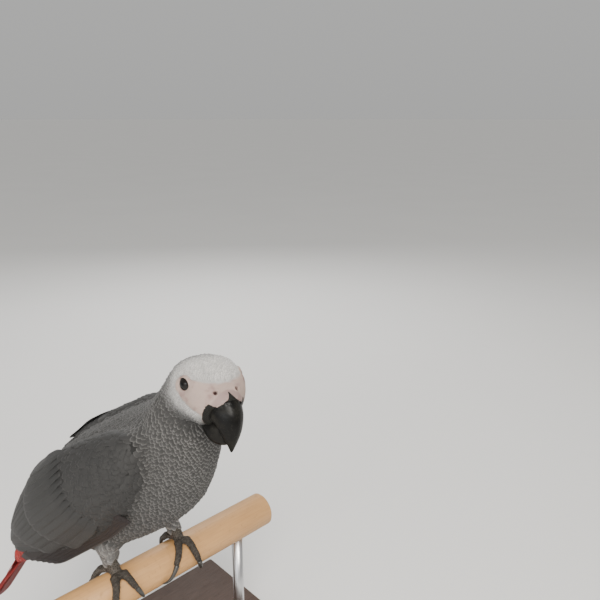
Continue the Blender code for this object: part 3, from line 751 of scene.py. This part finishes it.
def plumage_tree(patch_size):
    """Geometry Nodes: a vane on each root, turned to the coat's lie, lifted, and given its root's patch."""
    tree = bpy.data.node_groups.new("plumage", "GeometryNodeTree")
    interface = tree.interface
    interface.new_socket("Roots", in_out="INPUT", socket_type="NodeSocketGeometry")
    for name, kind in (("Vane", "Object"), ("Lift", "Float"), ("Unevenness", "Float"), ("Seed", "Int"),
                       ("Finish", "Material")):
        interface.new_socket(name, in_out="INPUT", socket_type=f"NodeSocket{kind}")
    interface.new_socket("Feathers", in_out="OUTPUT", socket_type="NodeSocketGeometry")

    def add(kind, settings=(), **values):
        """A node whose inputs are given by name, or as i0, i1 and so on by number."""
        node = tree.nodes.new(kind)
        for key, value in dict(settings).items():
            setattr(node, key, value)
        for key, value in values.items():
            socket = node.inputs[int(key[1:])] if key[0] == "i" and key[1:].isdigit() else node.inputs[key]
            if isinstance(value, bpy.types.NodeSocket):
                tree.links.new(value, socket)
            else:
                socket.default_value = value
        return node

    def named(name, kind):
        return add("GeometryNodeInputNamedAttribute", {"data_type": kind}, Name=name).outputs[0]

    def chance(low, high, seed_step):
        seed = add("ShaderNodeMath", {"operation": "ADD"}, i0=given["Seed"], i1=float(seed_step)).outputs[0]
        node = add("FunctionNodeRandomValue", {"data_type": "FLOAT"}, i2=low, i3=high)
        tree.links.new(seed, node.inputs[8])
        return node.outputs[1]

    def maths(operation, first, second):
        return add("ShaderNodeMath", {"operation": operation}, i0=first, i1=second).outputs[0]

    given = tree.nodes.new("NodeGroupInput").outputs
    shape = add("GeometryNodeObjectInfo", {}, Object=given["Vane"]).outputs["Geometry"]
    frame_turn = add("FunctionNodeAxesToRotation", {"primary_axis": "Z", "secondary_axis": "X"},
                     i0=named("normal_way", "FLOAT_VECTOR"), i1=named("lie", "FLOAT_VECTOR")).outputs[0]
    uneven = given["Unevenness"]
    uneven_lift = maths("MULTIPLY", chance(-0.5, 0.5, 1), uneven)
    pitch = maths("MULTIPLY", maths("ADD", given["Lift"], uneven_lift), -1.0)
    roll = maths("MULTIPLY", chance(-0.7, 0.7, 2), uneven)
    yaw = maths("MULTIPLY", chance(-1.1, 1.1, 3), uneven)
    euler = add("ShaderNodeCombineXYZ", {}, X=roll, Y=pitch, Z=yaw).outputs[0]
    turn = add("FunctionNodeEulerToRotation", {}, i0=euler).outputs[0]
    whole_turn = add("FunctionNodeRotateRotation", {"rotation_space": "LOCAL"},
                     i0=frame_turn, i1=turn).outputs[0]
    length = maths("MULTIPLY", named("length", "FLOAT"), chance(0.92, 1.1, 4))
    across_scale = maths("MULTIPLY", length, chance(0.92, 1.1, 5))
    scale = add("ShaderNodeCombineXYZ", {}, X=length, Y=across_scale, Z=length).outputs[0]
    placed = add("GeometryNodeInstanceOnPoints", {}, Points=given["Roots"], Instance=shape,
                 Rotation=whole_turn, Scale=scale).outputs[0]
    real = add("GeometryNodeRealizeInstances", {}, Geometry=placed).outputs[0]
    offset = add("ShaderNodeVectorMath", {"operation": "MULTIPLY_ADD"}, i0=named("patch", "FLOAT_VECTOR"),
                 i1=(patch_size, patch_size, 0.0), i2=named("root_map", "FLOAT_VECTOR")).outputs[0]
    per_corner = {"data_type": "FLOAT2", "domain": "CORNER"}
    mapped = add("GeometryNodeStoreNamedAttribute", per_corner, Geometry=real,
                 Name="OFBake", Value=offset).outputs[0]
    done = add("GeometryNodeSetMaterial", {}, Geometry=mapped, Material=given["Finish"]).outputs[0]
    tree.links.new(done, tree.nodes.new("NodeGroupOutput").inputs[0])
    return tree


PATCH = 0.003  # the share of the map that one feather covers
MAP_SPAN, MAP_MARGIN = 0.93, 0.03
plumage = plumage_tree(PATCH)


def feathered(name, chosen, shape, lift, seed, finish, slot):
    """A coat piece: a vane on each of the chosen roots."""
    own_roots = {key: values[chosen] for key, values in roots.items()}
    mesh = bpy.data.meshes.new("roots")
    mesh.vertices.add(int(chosen.sum()))
    mesh.vertices.foreach_set("co", own_roots["place"].ravel())
    flat = own_roots["map"]
    flat = (flat - flat.min(0)) / np.ptp(flat, axis=0) * MAP_SPAN + MAP_MARGIN
    vectors = {"normal_way": own_roots["normal"], "lie": own_roots["lie"],
               "root_map": np.column_stack([flat, np.zeros(len(flat))])}
    for key, values in vectors.items():
        mesh.attributes.new(key, "FLOAT_VECTOR", "POINT").data.foreach_set("vector", values.ravel())
    for key in ("length", "shade", "edge", "red"):
        mesh.attributes.new(key, "FLOAT", "POINT").data.foreach_set("value", own_roots[key])
    tint = np.random.default_rng(seed).random(len(flat))
    mesh.attributes.new("tint", "FLOAT", "POINT").data.foreach_set("value", tint)
    holder = bpy.data.objects.new("holder", mesh)
    bpy.context.scene.collection.objects.link(holder)
    modifier = holder.modifiers.new("plumage", "NODES")
    modifier.node_group = plumage
    settings = {"Vane": shape, "Lift": radians(lift), "Unevenness": 0.09, "Seed": seed, "Finish": finish}
    for item in plumage.interface.items_tree:
        if item.name in settings:
            modifier[item.identifier] = settings[item.name]
    made = bpy.data.meshes.new_from_object(holder.evaluated_get(bpy.context.evaluated_depsgraph_get()))
    bpy.data.objects.remove(holder)
    made.name = name
    return as_piece(name, made, None, slot)


# Which way the coat lies: down the body's line, and straight down the legs.
lie = run[nearest] * (1 - is_thigh)[:, None] + np.array([0, 0, -1.0]) * is_thigh[:, None]
lie = unit(lie - normals * (lie * normals).sum(1, keepdims=True))
lie = spread(lie, 25)
calm_normals = spread(normals, 4)

# How far apart feathers grow, in millimetres.
spacing = 1.8 + 0.3 * smooth(0.1, past_neck, down) + 0.7 * smooth(past_neck, past_neck + 0.35, down)
spacing = spacing + 0.9 * smooth(0.0, 0.8, np.cos(angle)) * smooth(past_neck, past_neck + 0.2, down)
by_face = np.maximum(smooth(7, 1, from_face) * beside, smooth(8, 1, from_cere)) * (down < past_neck)
spacing = spacing * (1 - 0.36 * by_face)
spacing = spacing * (1 - is_wing) + (3.0 + 1.6 * smooth(0.3, 0.7, down)) * is_wing
spacing = spacing * (1 - is_thigh) + 3.0 * is_thigh
LENGTH_TO_SPACING = 2.9

generator = np.random.default_rng(7)
skin_mesh.calc_loop_triangles()
triangles = np.empty(len(skin_mesh.loop_triangles) * 3, int)
skin_mesh.loop_triangles.foreach_get("vertices", triangles)
triangles = triangles.reshape(-1, 3)
first, second, third = (places[triangles[:, i]] for i in range(3))
areas = np.linalg.norm(np.cross(second - first, third - first), axis=1)
weights = areas / spacing[triangles].mean(1) ** 2 * (bare[triangles].max(1) < 0.5)
TRIES = 170000
picked = generator.choice(len(triangles), TRIES, p=weights / weights.sum())
mix = generator.dirichlet((1, 1, 1), TRIES)


def at_tries(values):
    values = values if values.ndim > 1 else values[:, None]
    found = (values[triangles[picked]] * mix[:, :, None]).sum(1)
    return found if found.shape[1] > 1 else found[:, 0]


tries = {"place": at_tries(places), "normal": unit(at_tries(calm_normals)), "lie": unit(at_tries(lie)),
         "spacing": at_tries(spacing)}
try_down = at_tries(down)
ROW_JITTER = 0.0015  # of the body's line, so that rows don't run straight round it
order = np.argsort(try_down + generator.random(TRIES) * ROW_JITTER)
points = kdtree.KDTree(TRIES)
for i, place in enumerate(tries["place"]):
    points.insert(place, i)
points.balance()
blocked = np.zeros(TRIES, bool)
rooted = []
for i in order:
    if not blocked[i]:
        rooted.append(i)
        for _, other, _ in points.find_range(tries["place"][i], tries["spacing"][i] * MM):
            blocked[other] = True
rooted = np.array(rooted)
roots = {key: values[rooted] for key, values in tries.items()}
roots["length"] = roots["spacing"] * LENGTH_TO_SPACING * MM
for key, values in (("shade", shade), ("edge", edge), ("red", red), ("wing", is_wing), ("thigh", is_thigh)):
    roots[key] = at_tries(values)[rooted]
roots["down"], turn_round, roots["nearest"] = on_line(roots["place"])
roots["map"] = np.column_stack([turn_round / (2 * pi), roots["down"]])
ROOT_DEPTH = 0.15
roots["place"] = roots["place"] - roots["normal"] * ROOT_DEPTH * MM

# A feather lies towards the skin under its tip, so that none is buried where the body is hollow.
ahead = roots["place"] + roots["lie"] * roots["length"][:, None]
ahead = np.array([skin_tree.find_nearest(place)[0] for place in ahead]) - roots["place"]
roots["lie"] = unit(unit(ahead) + 0.15 * roots["lie"])
level_normal = roots["normal"] - roots["lie"] * (roots["normal"] * roots["lie"]).sum(1, keepdims=True)
roots["normal"] = unit(level_normal)

leg_turn = np.arctan2(roots["place"][:, 1] - np.sign(roots["place"][:, 1]) * middle("shank_left")[1],
                      roots["place"][:, 0])
is_leg = roots["thigh"] > 0.5
roots["map"][is_leg] = np.column_stack([leg_turn / 7 + np.sign(roots["place"][:, 1]) * 0.5,
                                        roots["place"][:, 2]])[is_leg]

# The feathers' colours: a paler fringe, barbs that slope back from the shaft, and a little unevenness from
# feather to feather, with painted shade darkening each root, where the feather before lies over it.


def feather_finish(name, barb_count, fringe_start, roughness=0.78, sheen=0.18, painted_root_shade=0.0):
    finish = Finish(name, Sheen_Weight=sheen, Sheen_Roughness=0.5)
    x, y, margin = finish.apart("vane")
    patchy = finish.noise(160, 3)
    vary = 0.84 + finish.kept("tint") * 0.22 + patchy * 0.14
    # Painted shade: the root part of each vane is darkened, as if shaded by the feather lying over it.
    vary = vary * (1 - painted_root_shade * (1 - x.step(0.62, 0.84)))
    fringe = margin.step(fringe_start, 0.97) * (0.35 + 0.65 * x.step(0.45, 0.9)) * (0.5 + patchy)
    middle_grey, edge_grey = finish.kept("shade"), finish.kept("edge")
    level_grey = (middle_grey + fringe * (edge_grey - middle_grey)) * vary
    grey = finish.node("ShaderNodeVectorMath", {"operation": "SCALE"}, (1.0, 0.965, 0.925), Scale=level_grey)
    crimson = finish.mixed(fringe * 0.3 + patchy * 0.3 + finish.kept("tint") * 0.4, (0.2, 0.006, 0.006),
                           (0.5, 0.034, 0.025))
    barbs = (x * barb_count - y.size() * 26).sine() * 0.5 + 0.5
    shaft = 1 - y.size().step(0.02, 0.09)
    colour = finish.mixed(finish.kept("red"), grey, crimson)
    finish.feed(Base_Color=finish.mixed(barbs * 0.14, colour, (0.01, 0.01, 0.01)),
                Roughness=roughness + patchy * 0.08, bump=barbs * 0.6 + shaft, depth=0.07 * MM)
    return finish.material


# The head and soft feathers get painted shade at their roots; the close feathers get none.
head_feather = feather_finish("head_feather", 60, 0.45, painted_root_shade=0.12)
soft_feather = feather_finish("soft_feather", 60, 0.42, sheen=0.06, painted_root_shade=0.35)
close_feather = feather_finish("close_feather", 60, 0.74, roughness=0.68, sheen=0.03)
small_vane = vane("small_vane", 4, 4, 0.62, 0.5, 0.035, ragged=0.02)
neck_vane = vane("neck_vane", 5, 4, 0.74, 0.55, 0.028, ragged=0.025)
broad_vane = vane("broad_vane", 6, 6, 0.78, 0.55, 0.02, ragged=0.018)
wing_vane = vane("wing_vane", 6, 6, 0.72, 0.6, 0.018, droop=0.02, cup=0.14, ragged=0.008)

# Each wing has a plane of its own: along it to the tip, up across it, and out of the body.
QUILLS_START = 0.5  # of the wing's length, where long feathers hide the small ones
RELIEF_STEP = 2.5
RAYS_FROM = 60


class Wing:
    def __init__(self, side):
        name = f"wing_{side}"
        wing_corners = corners(name)
        self.middle = middle(name)
        turn = np.linalg.svd(wing_corners - wing_corners.mean(0), full_matrices=False)[2]
        self.along = turn[0] * -np.sign(turn[0][2])
        self.out = turn[2] * np.sign(turn[2] @ body_left) * SIDES[side]
        self.up = np.cross(self.out, self.along)
        self.up *= np.sign(self.up[2])
        self.flip = SIDES[side] < 0
        flat = self.flat(wing_corners)
        self.start, self.stop = flat[:, 0].min(), flat[:, 0].max()
        self.a = np.arange(self.start - 6, self.stop + 12, RELIEF_STEP)
        self.b = np.arange(flat[:, 1].min() - 8, flat[:, 1].max() + 8, RELIEF_STEP)
        self.fill(BVHTree.FromBMesh(merged(name)))

    def flat(self, points):
        return (points - self.middle) @ np.array([self.along, self.up, self.out]).T / MM

    def fill(self, tree):
        """The height of the wing's outer face over its plane, carried past its edge and evened out."""
        heights = np.full((len(self.a), len(self.b)), np.nan)
        for i, a in enumerate(self.a):
            for j, b in enumerate(self.b):
                above = self.middle + (self.along * a + self.up * b + self.out * RAYS_FROM) * MM
                hit = tree.ray_cast(Vector(above), Vector(-self.out))[3]
                if hit is not None:
                    heights[i, j] = RAYS_FROM - hit / MM
        hits = ~np.isnan(heights)
        rows_hit = hits.any(1)
        self.high = np.interp(self.a, self.a[rows_hit], [self.b[row].max() for row in hits[rows_hit]])
        self.low = np.interp(self.a, self.a[rows_hit], [self.b[row].min() for row in hits[rows_hit]])
        while np.isnan(heights).any():
            padded = np.pad(heights, 1, constant_values=np.nan)
            around = np.stack([padded[1 + i:len(self.a) + 1 + i, 1 + j:len(self.b) + 1 + j]
                               for i in (-1, 0, 1) for j in (-1, 0, 1)])
            near = (~np.isnan(around)).sum(0)
            reached = np.isnan(heights) & (near > 0)
            heights[reached] = (np.nansum(around, axis=0) / np.maximum(near, 1))[reached]
        for _ in range(3):
            padded = np.pad(heights, 1, mode="edge")
            heights = sum(padded[1 + i:len(self.a) + 1 + i, 1 + j:len(self.b) + 1 + j]
                          for i in (-1, 0, 1) for j in (-1, 0, 1)) / 9
        self.heights = heights

    def spot(self, share_along, share_down):
        """Millimetres along and up, for shares of the wing's length and of its breadth from the top down."""
        a = self.start + (self.stop - self.start) * share_along
        high, low = np.interp(a, self.a, self.high), np.interp(a, self.a, self.low)
        return np.array([a, high + (low - high) * share_down])

    def place(self, a, b, height):
        i = np.clip((a - self.a[0]) / RELIEF_STEP, 0, len(self.a) - 1.001)
        j = np.clip((b - self.b[0]) / RELIEF_STEP, 0, len(self.b) - 1.001)
        i0, j0 = i.astype(int), j.astype(int)
        u, v = i - i0, j - j0
        grid = self.heights
        relief = ((grid[i0, j0] * (1 - v) + grid[i0, j0 + 1] * v) * (1 - u)
                  + (grid[i0 + 1, j0] * (1 - v) + grid[i0 + 1, j0 + 1] * v) * u)
        flat = np.stack([a, b, relief + height], axis=-1) * MM
        return self.middle + flat @ np.array([self.along, self.up, self.out])


wings = {side: Wing(side) for side in SIDES}
at, on_wing = roots["down"], roots["wing"] > 0.5
low_neck = past_neck + 0.05
BREAST_END = 0.62
# The body grows none under the folded primaries, and those that reach under them are as dark.
folded_trees = [BVHTree.FromBMesh(merged(f"primaries_{side}")) for side in SIDES]
COVER = 9 * MM
DARK_GREY = 0.016


def covered(spots, way):
    """Whether the folded primaries lie over each spot."""
    return np.array([any(tree.ray_cast(Vector(spot - out * COVER / 3), Vector(out), COVER)[0] is not None
                         for tree in folded_trees) for spot, out in zip(spots, way)])


under_folded = covered(roots["place"], roots["normal"])
as_laid = roots["lie"] * roots["length"][:, None]
reaches_under = covered(roots["place"] + as_laid, roots["normal"]) & (at > low_neck)
reaches_under |= covered(roots["place"] + as_laid / 2, roots["normal"])
for key in ("shade", "edge"):
    roots[key] = np.where(reaches_under, DARK_GREY, roots[key])
toward = (roots["place"] - line[roots["nearest"]]) @ body_left
on_back = np.cos(turn_round) > 0.1
free = ~on_wing & ~is_leg & ~under_folded
# None grow on the end of the rump, where the tail is rooted.
end_on = (roots["normal"] * run[roots["nearest"]]).sum(1)
free &= ~((end_on > 0.55) & (at > 0.9))
high_neck = past_neck - 0.08
groups = [
    ("head_feathers", free & (at < high_neck), small_vane, 10, head_feather, "head_plumage"),
    ("neck_feathers", free & (at >= high_neck) & (at < low_neck), neck_vane, 10, soft_feather,
     "grey_plumage"),
    ("back_feathers", free & (at >= low_neck) & on_back, broad_vane, 10, soft_feather, "grey_plumage"),
    ("breast_feathers", free & (at >= low_neck) & (at < BREAST_END) & ~on_back, neck_vane, 11, soft_feather,
     "grey_plumage"),
    ("belly_feathers", free & (at >= BREAST_END) & ~on_back, neck_vane, 11, soft_feather, "grey_plumage"),
    ("leg_feathers", is_leg, neck_vane, 10, soft_feather, "grey_plumage"),
]
for side, wing in wings.items():
    flat = wing.flat(roots["place"])
    past = flat[:, 0] - wing.start > (wing.stop - wing.start) * QUILLS_START
    hidden = past & (roots["normal"] @ wing.out > 0.3)
    roots["edge"] = np.where(past & on_wing, roots["shade"], roots["edge"])
    chosen = on_wing & ~is_leg & ~hidden & (toward * SIDES[side] > 0)
    groups.append((f"wing_coverts_{side}", chosen, wing_vane, 6.5, close_feather, "wing_plumage"))
for seed, (name, chosen, shape, lift, finish, slot) in enumerate(groups):
    feathered(name, chosen, shape, lift, seed + 1, finish, slot)
for shape in (small_vane, neck_vane, broad_vane, wing_vane):
    bpy.data.objects.remove(shape)

# --- The wings' long feathers -------------------------------------------------------------------------------
# Stiff quills with a shaft and two vanes, shingled from the back downwards: greater coverts over the
# secondaries, and the secondaries over the primaries, whose dark ends show under the lower edge.
QUILL_ROWS = 18
QUILL_ACROSS = np.array([-1, -0.66, -0.3, 0, 0.3, 0.66, 1])
QUILL_THICK, EDGE_THINNER, SHAFT_HIGH = 0.42, 0.26, 0.22


class Quills:
    """Long feathers gathered into one piece, each with a strip of the map to itself."""

    def __init__(self):
        self.sheets = []
        self.faces = []

    def add(self, surface, root, tip, half_width, height, lean, shade, edge,
            red=0.0, bow=0.0, sink=1.8, droop=0.0, round_tip=0.84, flip=False):
        """One feather from root to tip on a surface, both in millimetres on its plane."""
        root, tip = np.array(root, float), np.array(tip, float)
        along = tip - root
        across = np.array([-along[1], along[0]]) / np.linalg.norm(along)
        x, y = np.meshgrid(np.linspace(0, 1, QUILL_ROWS + 1), QUILL_ACROSS, indexing="ij")
        opening = 0.35 + 0.65 * smooth(0, 0.3, x)
        closing = np.sqrt(1 - (np.maximum(0, x - round_tip) / (1.02 - round_tip)) ** 2)
        half = half_width * opening * closing
        centre = root + along * x[..., None] + across * (bow * np.sin(pi * x))[..., None]
        flat = centre + across * (y * half)[..., None]
        lift = height + lean * y * closing - sink * smooth(0.25, 0, x) - 0.05 * half * y * y
        lift = lift + SHAFT_HIGH * (np.abs(y) < 0.01) * (1 - x) - droop * x * x
        margin = np.where(x == 1, 1, np.maximum(np.abs(y), (x - 0.93) / 0.07))
        strip = len(self.sheets) // 2
        start = sum(len(sheet[0]) for sheet in self.sheets)
        self.faces += shell(QUILL_ROWS, len(QUILL_ACROSS) - 1, start, flip)
        for under in (0, 1):
            depth = under * (QUILL_THICK - EDGE_THINNER * np.abs(y))
            place = surface(flat[..., 0], flat[..., 1], lift - depth)
            inset = 1 - 0.18 * under
            strip_map = np.stack([strip + 0.5 + 0.46 * y * inset * (0.3 + 0.7 * closing),
                                  0.5 + (x - 0.5) * 0.96 * inset], axis=-1)
            keep = np.stack([0 * x + value for value in (shade, edge, red, (strip * 0.618) % 1)], axis=-1)
            self.sheets.append((place.reshape(-1, 3), np.stack([x, y, margin], axis=-1).reshape(-1, 3),
                                strip_map.reshape(-1, 2), keep.reshape(-1, 4)))

    def piece(self, name, finish, slot, *replaced):
        place, along, strip_map, keep = (np.concatenate(part) for part in zip(*self.sheets))
        numbers = dict(zip(("shade", "edge", "red", "tint"), keep.T.copy()))
        mesh = kept_mesh(name, place, self.faces, {"vane": along}, numbers)
        strip_map[:, 0] = 0.02 + 0.96 * strip_map[:, 0] / (len(self.sheets) // 2)
        loops = np.empty(len(mesh.loops), int)
        mesh.loops.foreach_get("vertex_index", loops)
        mesh.uv_layers.new(name="OFBake").data.foreach_set("uv", strip_map[loops].ravel())
        return as_piece(name, mesh, finish, slot, *replaced)


quill_feather = feather_finish("quill_feather", 420, 0.8, roughness=0.62, sheen=0.03)
PRIMARIES, SECONDARIES, COVERTS, FOLDED = 9, 10, 12, 6
PRIMARY_TONES = dict(shade=0.012, edge=0.016)
SECONDARY_TONES = dict(shade=0.015, edge=0.021)
COVERT_TONES = dict(shade=0.018, edge=0.027)
for side, wing in wings.items():
    long_ones = Quills()
    for k in range(PRIMARIES):
        t = k / (PRIMARIES - 1)
        root, tip = wing.spot(0.46, 0.93 - 0.4 * t), wing.spot(0.9 + 0.115 * t ** 0.7, 0.92 - 0.62 * t)
        long_ones.add(wing.place, root, tip, half_width=5.2, height=-1.3 + 0.12 * k, lean=-0.35,
                      bow=-2 * (1 - t), flip=wing.flip, **PRIMARY_TONES)
    for k in range(SECONDARIES):
        t = k / (SECONDARIES - 1)
        root, tip = wing.spot(0.4, 0.86 - 0.78 * t), wing.spot(0.74 + 0.16 * t, 0.9 - 0.8 * t)
        long_ones.add(wing.place, root, tip, half_width=6.0, height=0.05 * k, lean=-0.4,
                      flip=wing.flip, **SECONDARY_TONES)
    for k in range(COVERTS):
        t = k / (COVERTS - 1)
        root, tip = wing.spot(0.33, 0.93 - 0.88 * t), wing.spot(0.57 + 0.05 * sin(pi * t), 0.97 - 0.93 * t)
        long_ones.add(wing.place, root, tip, half_width=4.6, height=1.25 + 0.02 * k, lean=-0.3,
                      flip=wing.flip, **COVERT_TONES)
    # The outer primaries, folded under the wing's lower edge.
    vertices = corners(f"primaries_{side}")
    turn = np.linalg.svd(vertices - vertices.mean(0), full_matrices=False)[2]
    along = turn[0] * -np.sign(turn[0][2])
    out = turn[2] * np.sign(turn[2] @ wing.out)
    up = np.cross(out, along)
    up *= np.sign(up[2])
    centre = middle(f"primaries_{side}")
    axes = np.array([along, up, out])
    measured = (vertices - centre) @ axes.T / MM
    low, high = measured.min(0), measured.max(0)

    def folded(a, b, height):
        return centre + np.stack([a, b, height], axis=-1) @ axes * MM

    for k in range(FOLDED):
        t = k / (FOLDED - 1)
        b = low[1] + 5.5 + (high[1] - low[1] - 11) * t
        root, tip = (low[0], b * 0.7), (high[0] - 14 * (1 - t), b)
        # The lowest has a pale edge.
        long_ones.add(folded, root, tip, half_width=5.2, height=high[2] - 1.9 + 0.3 * k, lean=-0.3,
                      shade=0.004, edge=0.008 + 0.2 * (k == 0), red=0.02, sink=0.3, flip=wing.flip)
    long_ones.piece(f"quills_{side}", quill_feather, "flight_feathers", f"primaries_{side}")

# --- The tail -----------------------------------------------------------------------------------------------
# Twelve scarlet feathers, square-ended and shingled from the middle pair outwards, with short coverts over
# and under their roots. Made as the wings' quills are, coverts too, and all in one piece.
TAIL_PAIRS = 6
vertices = corners("tail")
turn = np.linalg.svd(vertices - vertices.mean(0), full_matrices=False)[2]
tail_along = turn[0] * -np.sign(turn[0][2])
tail_up = turn[2] * np.sign(turn[2][2])
tail_left = np.cross(tail_up, tail_along)
tail_axes = np.array([tail_along, tail_left, tail_up])
tail_middle = vertices.mean(0)
measured = (vertices - tail_middle) @ tail_axes.T / MM
tail_low, tail_high = measured.min(0), measured.max(0)
TAIL_ARCH = 0.0085
TAIL_TOP = 0.8  # how far the top pair lies under the tail's highest place
SCARLET_TONES = dict(shade=0.2, edge=0.3, red=1.0)


def on_tail(a, b, height):
    arched = height + tail_high[2] - TAIL_TOP - TAIL_ARCH * b * b
    return tail_middle + np.stack([a, b, arched], axis=-1) @ tail_axes * MM


red_ones = Quills()
half_breadth = tail_high[1]
for pair in reversed(range(TAIL_PAIRS)):
    for sign in (-1, 1):
        spread_out = sign * (1.2 + (half_breadth - 6.6) * pair / (TAIL_PAIRS - 1))
        length = tail_high[0] - 0.7 * pair ** 1.5
        red_ones.add(on_tail, (tail_low[0], spread_out * 0.35), (length, spread_out),
                     half_width=5.6, height=-0.45 * pair - 0.1 * (sign > 0), lean=0.0,
                     round_tip=0.88, bow=0.8 * sign, sink=1.0, **SCARLET_TONES)
# The rows of coverts: start, length, number, height and droop. Two rows lie above the tail and two below.
COVERT_ROWS = ((-4, 24, 6, 0.7, 0.6), (-7, 15, 5, 1.3, 0.9), (-3, 24, 6, -2.9, -0.3), (-6, 15, 5, -3.5, -0.5))
COVERTS_BREADTH = 20  # millimetres from the first covert's tip to the last one's
for start, length, number, height, droop in COVERT_ROWS:
    for k in range(number):
        b = (k / (number - 1) - 0.5) * COVERTS_BREADTH
        a = tail_low[0] + start + 3 * (k % 2)
        red_ones.add(on_tail, (a, b * 0.75), (a + length - 0.12 * abs(b), b),
                     half_width=4.4, height=height, lean=0.2 * (-1) ** k,
                     sink=0.8, droop=droop, round_tip=0.5, **SCARLET_TONES)
red_ones.piece("tail_feathers", quill_feather, "tail_feathers", "tail")

# --- The studio ---------------------------------------------------------------------------------------------
# A pale seamless floor and soft light from above, and the camera a little over the bird, off its right side.


def light(name, place, aim, size, power, colour=(1, 1, 1)):
    lamp = bpy.data.lights.new(name, "AREA")
    lamp.shape = "DISK"
    lamp.size = size
    lamp.energy = power
    lamp.color = colour
    made = bpy.data.objects.new(name, lamp)
    made.location = place
    made.rotation_euler = (Vector(aim) - Vector(place)).to_track_quat("-Z", "Y").to_euler()
    bpy.context.scene.collection.objects.link(made)


bpy.ops.mesh.primitive_circle_add(vertices=96, radius=80, fill_type="NGON", location=(0, 0, 0))
floor = bpy.context.object
floor.name = "floor"
paper = Finish("pale_paper", Roughness=0.9)
paper.feed(Base_Color=paper.mixed(paper.noise(3, 2), (0.80, 0.79, 0.77), (0.84, 0.83, 0.81)))
floor.data.materials.append(paper.material)
floor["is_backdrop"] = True
centre = (0, 0, 0.22)
light("key", (0.9, -0.5, 1.25), centre, 0.7, 27, (1.0, 0.96, 0.9))
light("fill", (0.5, -1.3, 0.6), centre, 1.2, 5, (0.94, 0.97, 1.0))
light("rim", (-1.0, 0.8, 1.0), centre, 0.8, 11)
light("catch", (0.42, -0.95, 0.62), (0.06, 0, 0.31), 0.14, 1.1)
world = bpy.data.worlds.new("studio")
world.use_nodes = True
world.node_tree.nodes["Background"].inputs["Color"].default_value = (0.78, 0.78, 0.77, 1)
# A little dimmer towards the horizon, where it meets the paper.
heading = world.node_tree.nodes.new("ShaderNodeTexCoord").outputs["Generated"]
height = world.node_tree.nodes.new("ShaderNodeSeparateXYZ")
world.node_tree.links.new(heading, height.inputs[0])
strength = world.node_tree.nodes.new("ShaderNodeMath")
strength.operation = "MULTIPLY_ADD"
world.node_tree.links.new(height.outputs["Z"], strength.inputs[0])
strength.inputs[1].default_value, strength.inputs[2].default_value = 0.22, 0.6
world.node_tree.links.new(strength.outputs[0], world.node_tree.nodes["Background"].inputs["Strength"])
bpy.context.scene.world = world
camera = bpy.data.objects.new("camera", bpy.data.cameras.new("camera"))
camera.location = (0.351, -0.184, 0.4615)
camera.rotation_euler = (radians(73.4), 0, radians(46))
camera.data.lens = 37.2
bpy.context.scene.collection.objects.link(camera)
bpy.context.scene.camera = camera

low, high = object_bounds()
